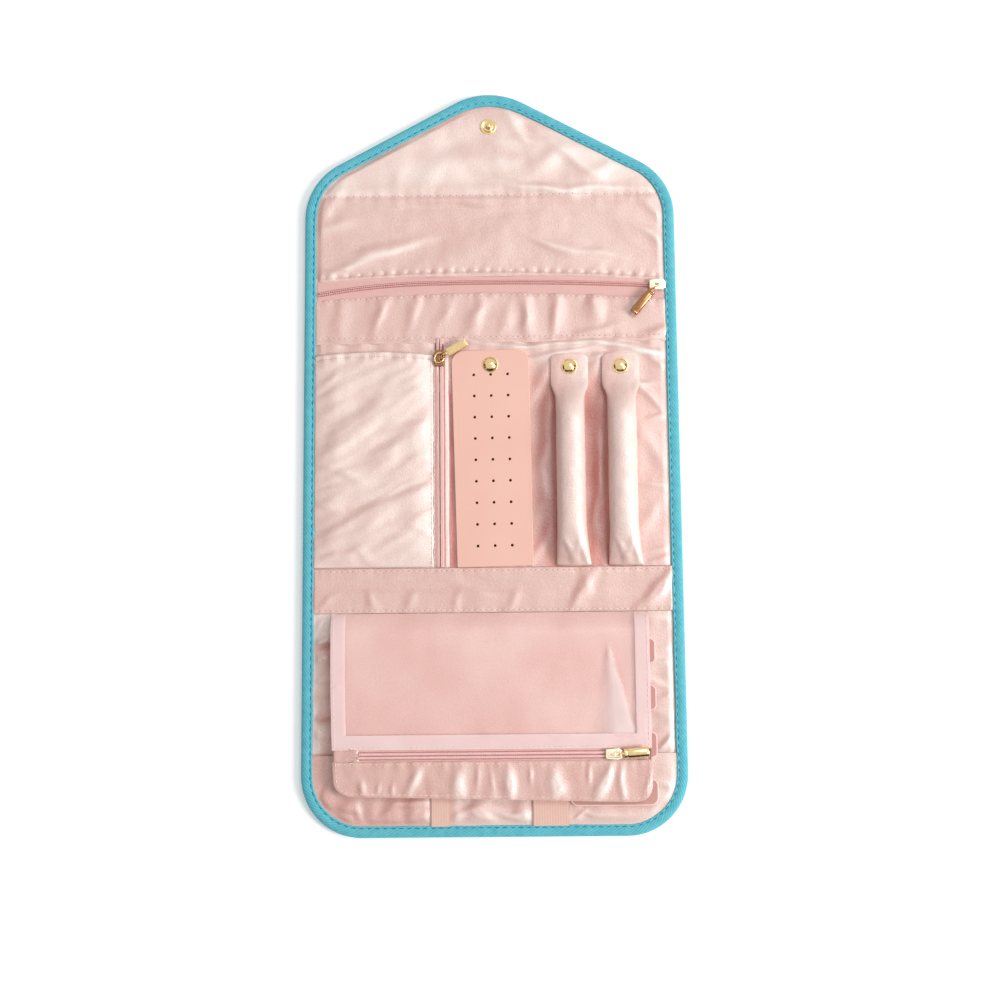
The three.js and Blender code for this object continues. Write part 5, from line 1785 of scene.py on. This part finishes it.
board_rim.done("finger_board_edge_paint", "bottom_panel", edge_paint, slot="leatherette")

# Clear pocket. A page of satin with a soft vinyl window, hemmed with pale tape, sewn along its top
# edge only. A zip crosses it below the window, and a satin strip ends it.
page_low, page_high = box_mm("clear_pocket_back")
window_low, window_high = box_mm("clear_pocket_window")
hem_low, hem_high = box_mm("clear_pocket_hem")
strip_low, strip_high = box_mm("clear_pocket_strip")
hem_side = 8.3
hem_foot = 8.2
page_corner = 9
page_rise = 14.0
page_sink = 4.2
page_skew = 0.026
page_rim_width = 0.9
page_columns_width = 180
page_middle = (page_low.x + page_high.x) / 2


def page_drop(y, pinch=0.0):
    """How far the page lies below its full height near its sewn edge, where the seam pinches its front."""
    share = ramp((page_high.y - y) / page_rise)
    return page_sink * (1 - np.sin(share * math.pi / 2)) + pinch * ramp(1 - 3 * share) ** 2


def page_place(x, y):
    """The page hangs a little askew: its left edge swings in and its foot drops to the right."""
    down = ramp((page_high.y - y) / (page_high.y - page_low.y))
    foot = ramp((strip_high.y - y) / (strip_high.y - page_low.y))
    reach = (page_high.x - x) / (page_high.x - page_low.x)
    return x + reach * (3.0 * down ** 3 - 0.7), y - page_skew * (x - page_middle) * foot


def page_half(y):
    """Half the page's width, narrowing in its two lower corners."""
    up = ramp((y - page_low.y) / page_corner)
    return (page_high.x - page_low.x) / 2 - page_corner * (1 - np.sqrt(1 - (1 - up) ** 2))


def page_sheet(name, low, high, surface, finish, nodes, step=1.0, inset=0.0, tone=0.0,
               rim=-0.12, pinch=0.0):
    """One of the page's cloths over its full width. Its rim turns down, or up where rim is above 0."""
    share, y = grid(-1, 1, low, high, step, across=round(page_columns_width / step))
    x = page_middle + share * (page_half(y) - inset)
    edge = np.minimum(page_half(y) - inset - np.abs(x - page_middle), np.minimum(y - low, 5))
    z = surface(x, y) - page_drop(y, pinch) + rim * ramp(1 - edge / page_rim_width) ** 2
    # The run carries painted tone, light and shade, and the vinyl's painted sheen.
    sheen_paint = window_painted_sheen(x, y)
    tone_and_shade = tone(x, y) if callable(tone) else tone
    run = np.stack([tone_and_shade + painted_slope_light(x, y, z), sheen_paint, 0 * sheen_paint], axis=-1)
    piece = add_piece(name, np.stack([*page_place(x, y), z], axis=-1), grid_faces(*x.shape), finish, run)
    attach(piece, "clear_pocket", nodes)


def page_back_surface(x, y):
    """Height of the page's satin back, in long flat waves."""
    return page_high.z - 1.1 + 0.3 * ripple(x, y, 30, 101) + 0.12 * ripple(x, y, 14, 100)


def page_back_tone(x, y):
    """The page's back is a little paler near its sewn edge."""
    tone = 0.25 * ripple(x, y, 34, 137) + 0.08 * ripple(x, y, 13, 138)
    return tone + 0.2 * ramp((y + 118) / 20) - 0.05


vinyl = Finish("clear_vinyl", {"Roughness": 0.16, "IOR": 1.6, "Base Color": srgb(255, 232, 228)})
# Where the painted sheen lies, the vinyl is nearly opaque, so its pale colour shows.
_, vinyl_sheen, _ = vinyl.axes("run")
vinyl.feed({"Alpha": vinyl.noise(40, 2) * 0.08 + 0.02 + vinyl_sheen * 0.8})

sheen_top = -108.5
sheen_length = 50.0
sheen_width = 23
sheen_x = 65.3
sheen_lean = 8.5


def window_painted_sheen(x, y):
    """A painted sheen on the vinyl: a pale, nearly opaque patch that widens downwards, and pale lines along
    the window's sides, faint over the hem.
    """
    down = ramp((sheen_top - y) / sheen_length)
    across = (x - sheen_x + sheen_lean * down + 0.7 * ripple(x, y, 12, 110)) / (0.5 + sheen_width * down)
    patch = ramp(across / 0.55) * ramp((1 - across) / 0.08) * ramp(down * 6)
    right = 0.15 * hump((x - window_high.x + 10) / 5)
    left = 0.15 * hump((x - window_low.x - 11) / 5)
    above_hem = np.clip((y - hem_low.y - hem_foot + 3) / 4, 0.1, 1)
    return ramp(patch * (0.85 + 0.15 * ripple(x, y, 14, 111)) + right + left) * above_hem


def window_surface(x, y):
    """Height of the vinyl, which buckles along its painted sheen."""
    warp = x + 3 * ripple(x, y, 30, 102)
    z = folds(warp, y, [(-60, -120, 20, 80, 24, 0.4), (10, -150, 4, 90, 20, 0.3)])
    down = ramp((sheen_top - y) / sheen_length)
    across = (warp - sheen_x + sheen_lean * down) / (1 + sheen_width * down)
    z += 0.5 * ramp(down * 4) * ramp(across) * ramp((1.25 - across) * 4)
    return window_high.z + 0.1 + z + 0.2 * ripple(x, y, 26, 103)


page_sheet("window_vinyl", window_low.y, window_high.y, window_surface, vinyl, ["clear_pocket_window"],
           inset=0.3, pinch=1.7)

hem_cloth = mottled("pale_hem", {"Roughness": 0.4, "Sheen Weight": 0.2},
                    20, 2, (254, 216, 214), (255, 230, 228))
hem_cloth.feed({"Alpha": hem_cloth.noise(26, 1) * 0.2 + 0.72})
hem_cloth.bump(hem_cloth.noise(0.5, 1, stretch=(4, 1, 1)), 0.05)


def hem_surface(x, y):
    """Height of the hem tape on the vinyl."""
    return hem_high.z - 0.1 + 0.1 * ripple(x, y, 12, 104) - page_drop(y, pinch=1.4)


hem_lap = 0.4
hem_seam_in = 1.5
hem_left, hem_right = hem_low.x + 0.1, hem_high.x - 0.1
hem_side_rows = (hem_low.y + hem_foot - hem_lap, page_high.y - 0.3)
for name, corners in (
    ("left", (hem_left, hem_left + hem_side, *hem_side_rows)),
    ("right", (hem_right - hem_side, hem_right, *hem_side_rows)),
    ("foot", (hem_left, hem_right, hem_low.y, hem_low.y + hem_foot)),
):
    page_hem = strip(f"page_hem_{name}", corners, hem_surface, hem_cloth, turn=0.1,
                     place=page_place)
    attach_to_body(page_hem, "clear_pocket")
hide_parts("clear_pocket_hem")
page_satin = satin_finish("page_satin", srgb(206, 96, 76), srgb(255, 234, 226), 0.45)
page_sheet("page_back_satin", page_low.y, page_high.y, page_back_surface, page_satin, ["clear_pocket_back"],
           inset=0.5, tone=page_back_tone, rim=0.85)

strip_folds = [
    (-46, -187, 62, 18, 5.0, 1.2), (-22, -188.5, 76, 17, 7.0, 1.4), (-20, -194, 60, 9, 6.0, 0.5),
    (-76, -192, -88, 9, 4.0, 0.8), (-10, -186, 84, 13, 3.0, 0.5), (-2, -188, -84, 12, 2.6, 0.4),
    (8, -188.5, -88, 17, 6.4, 1.5), (20, -184, 89, 9, 2.6, 0.6), (33, -187, 86, 14, 8.0, 1.4),
    (35, -192.5, 40, 12, 6.0, 0.8), (53, -184, 89, 9, 2.6, 0.6), (60, -190, 62, 18, 7.0, 1.4),
    (64, -183.5, 72, 12, 3.6, 0.8), (71, -184, 84, 12, 3.6, 0.8), (72, -193, -85, 10, 3.6, 0.7),
    (86, -189, 74, 9, 2.6, 0.5), (-67, -193, 76, 7, 2.6, 0.5), (-59, -193, 78, 7, 2.6, 0.5),
]
foot_seam_y = strip_high.y - 1.4


def foot_tone(x, y):
    """The page's foot is dark, with painted highlights on the crests of its gathers."""
    painted_highlights = [(*fold[:4], fold[4] * 1.1, fold[5]) for fold in strip_folds]
    return 0.8 * folds(x, y, painted_highlights) - 0.45 + 0.15 * ripple(x, y, 9, 139)


def foot_surface(x, y):
    """Height of the page's foot, gathered below the zip."""
    z = folds(x, y, strip_folds) + 0.2 * ripple(x, y / 2, 7, 105)
    z += gathers(y - foot_seam_y, x, 3, 4, 0.25, 106)
    z -= 0.3 * hump((y - foot_seam_y) / 0.8)
    z += gathers(y - strip_low.y - 1.6, x, 2.5, 5, 0.2, 107)
    return strip_high.z + 0.15 + np.clip(z, -0.4, 1.3)


page_sheet("page_foot_satin", strip_low.y, strip_high.y, foot_surface, satin, ["clear_pocket_strip"],
           step=0.8, tone=foot_tone)

page_stitch = (3.0, 2.2, 0.2)
border_in = 1.7
down = np.arange(page_high.y - 2, hem_low.y + 0.5, -1.0)
across = np.arange(hem_left + 2, hem_right - 2, 1.0)
border = rounded_path([
    (page_low.x + border_in, strip_high.y, 0),
    (page_low.x + border_in, page_low.y + border_in, page_corner - 1.5),
    (page_high.x - border_in, page_low.y + border_in, page_corner - 1.5),
    (page_high.x - border_in, strip_high.y, 0)], 1.0)
page_rows = [over(x, y, surface, place=page_place) for x, y, surface in (
    (hem_left + hem_seam_in, down, hem_surface),
    (hem_right - hem_seam_in, down, hem_surface),
    (across, hem_low.y + 1.2, hem_surface),
    (across, foot_seam_y, foot_surface),
    (border[:, 0], border[:, 1], foot_surface),
)]
sew("page_stitches", "clear_pocket", page_rows, page_stitch, thread)

tack_low, tack_high = box_mm("clear_pocket_zip_tab")
tab_end = tack_low.x + 7.0


def tab_surface(x, y):
    """Height of the small tab over the zip's closed end."""
    return strip_high.z + 0.3 + 0.12 * ripple(x, y, 4, 108)


zip_tab = strip("page_zip_tab_satin", (page_low.x + 0.6, tab_end, strip_high.y - 0.2, hem_low.y + 0.2),
                tab_surface, satin, ["clear_pocket_zip_tab"], step=0.5, tone=-0.5, place=page_place)
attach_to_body(zip_tab, "clear_pocket")
tack_thread = Finish("tack_thread", {"Base Color": srgb(250, 232, 228), "Roughness": 0.7})
tack_turns = 7
tack_width = 3.4
tack_in = 0.6
zigzag = []
for number in range(tack_turns * 2 + 1):
    share = number / (tack_turns * 2)
    tack_x = tab_end - tack_in - (0 if number % 2 else tack_width)
    tack_y = tack_low.y + tack_in + share * (tack_high.y - tack_low.y - 2 * tack_in)
    zigzag.append((tack_x, tack_y, strip_high.z + 0.6))
tack = Casting()
tack.tube(zigzag, 0.36, sides=6)
tack.done("page_bar_tack", "clear_pocket", tack_thread, slot="hem_tape")
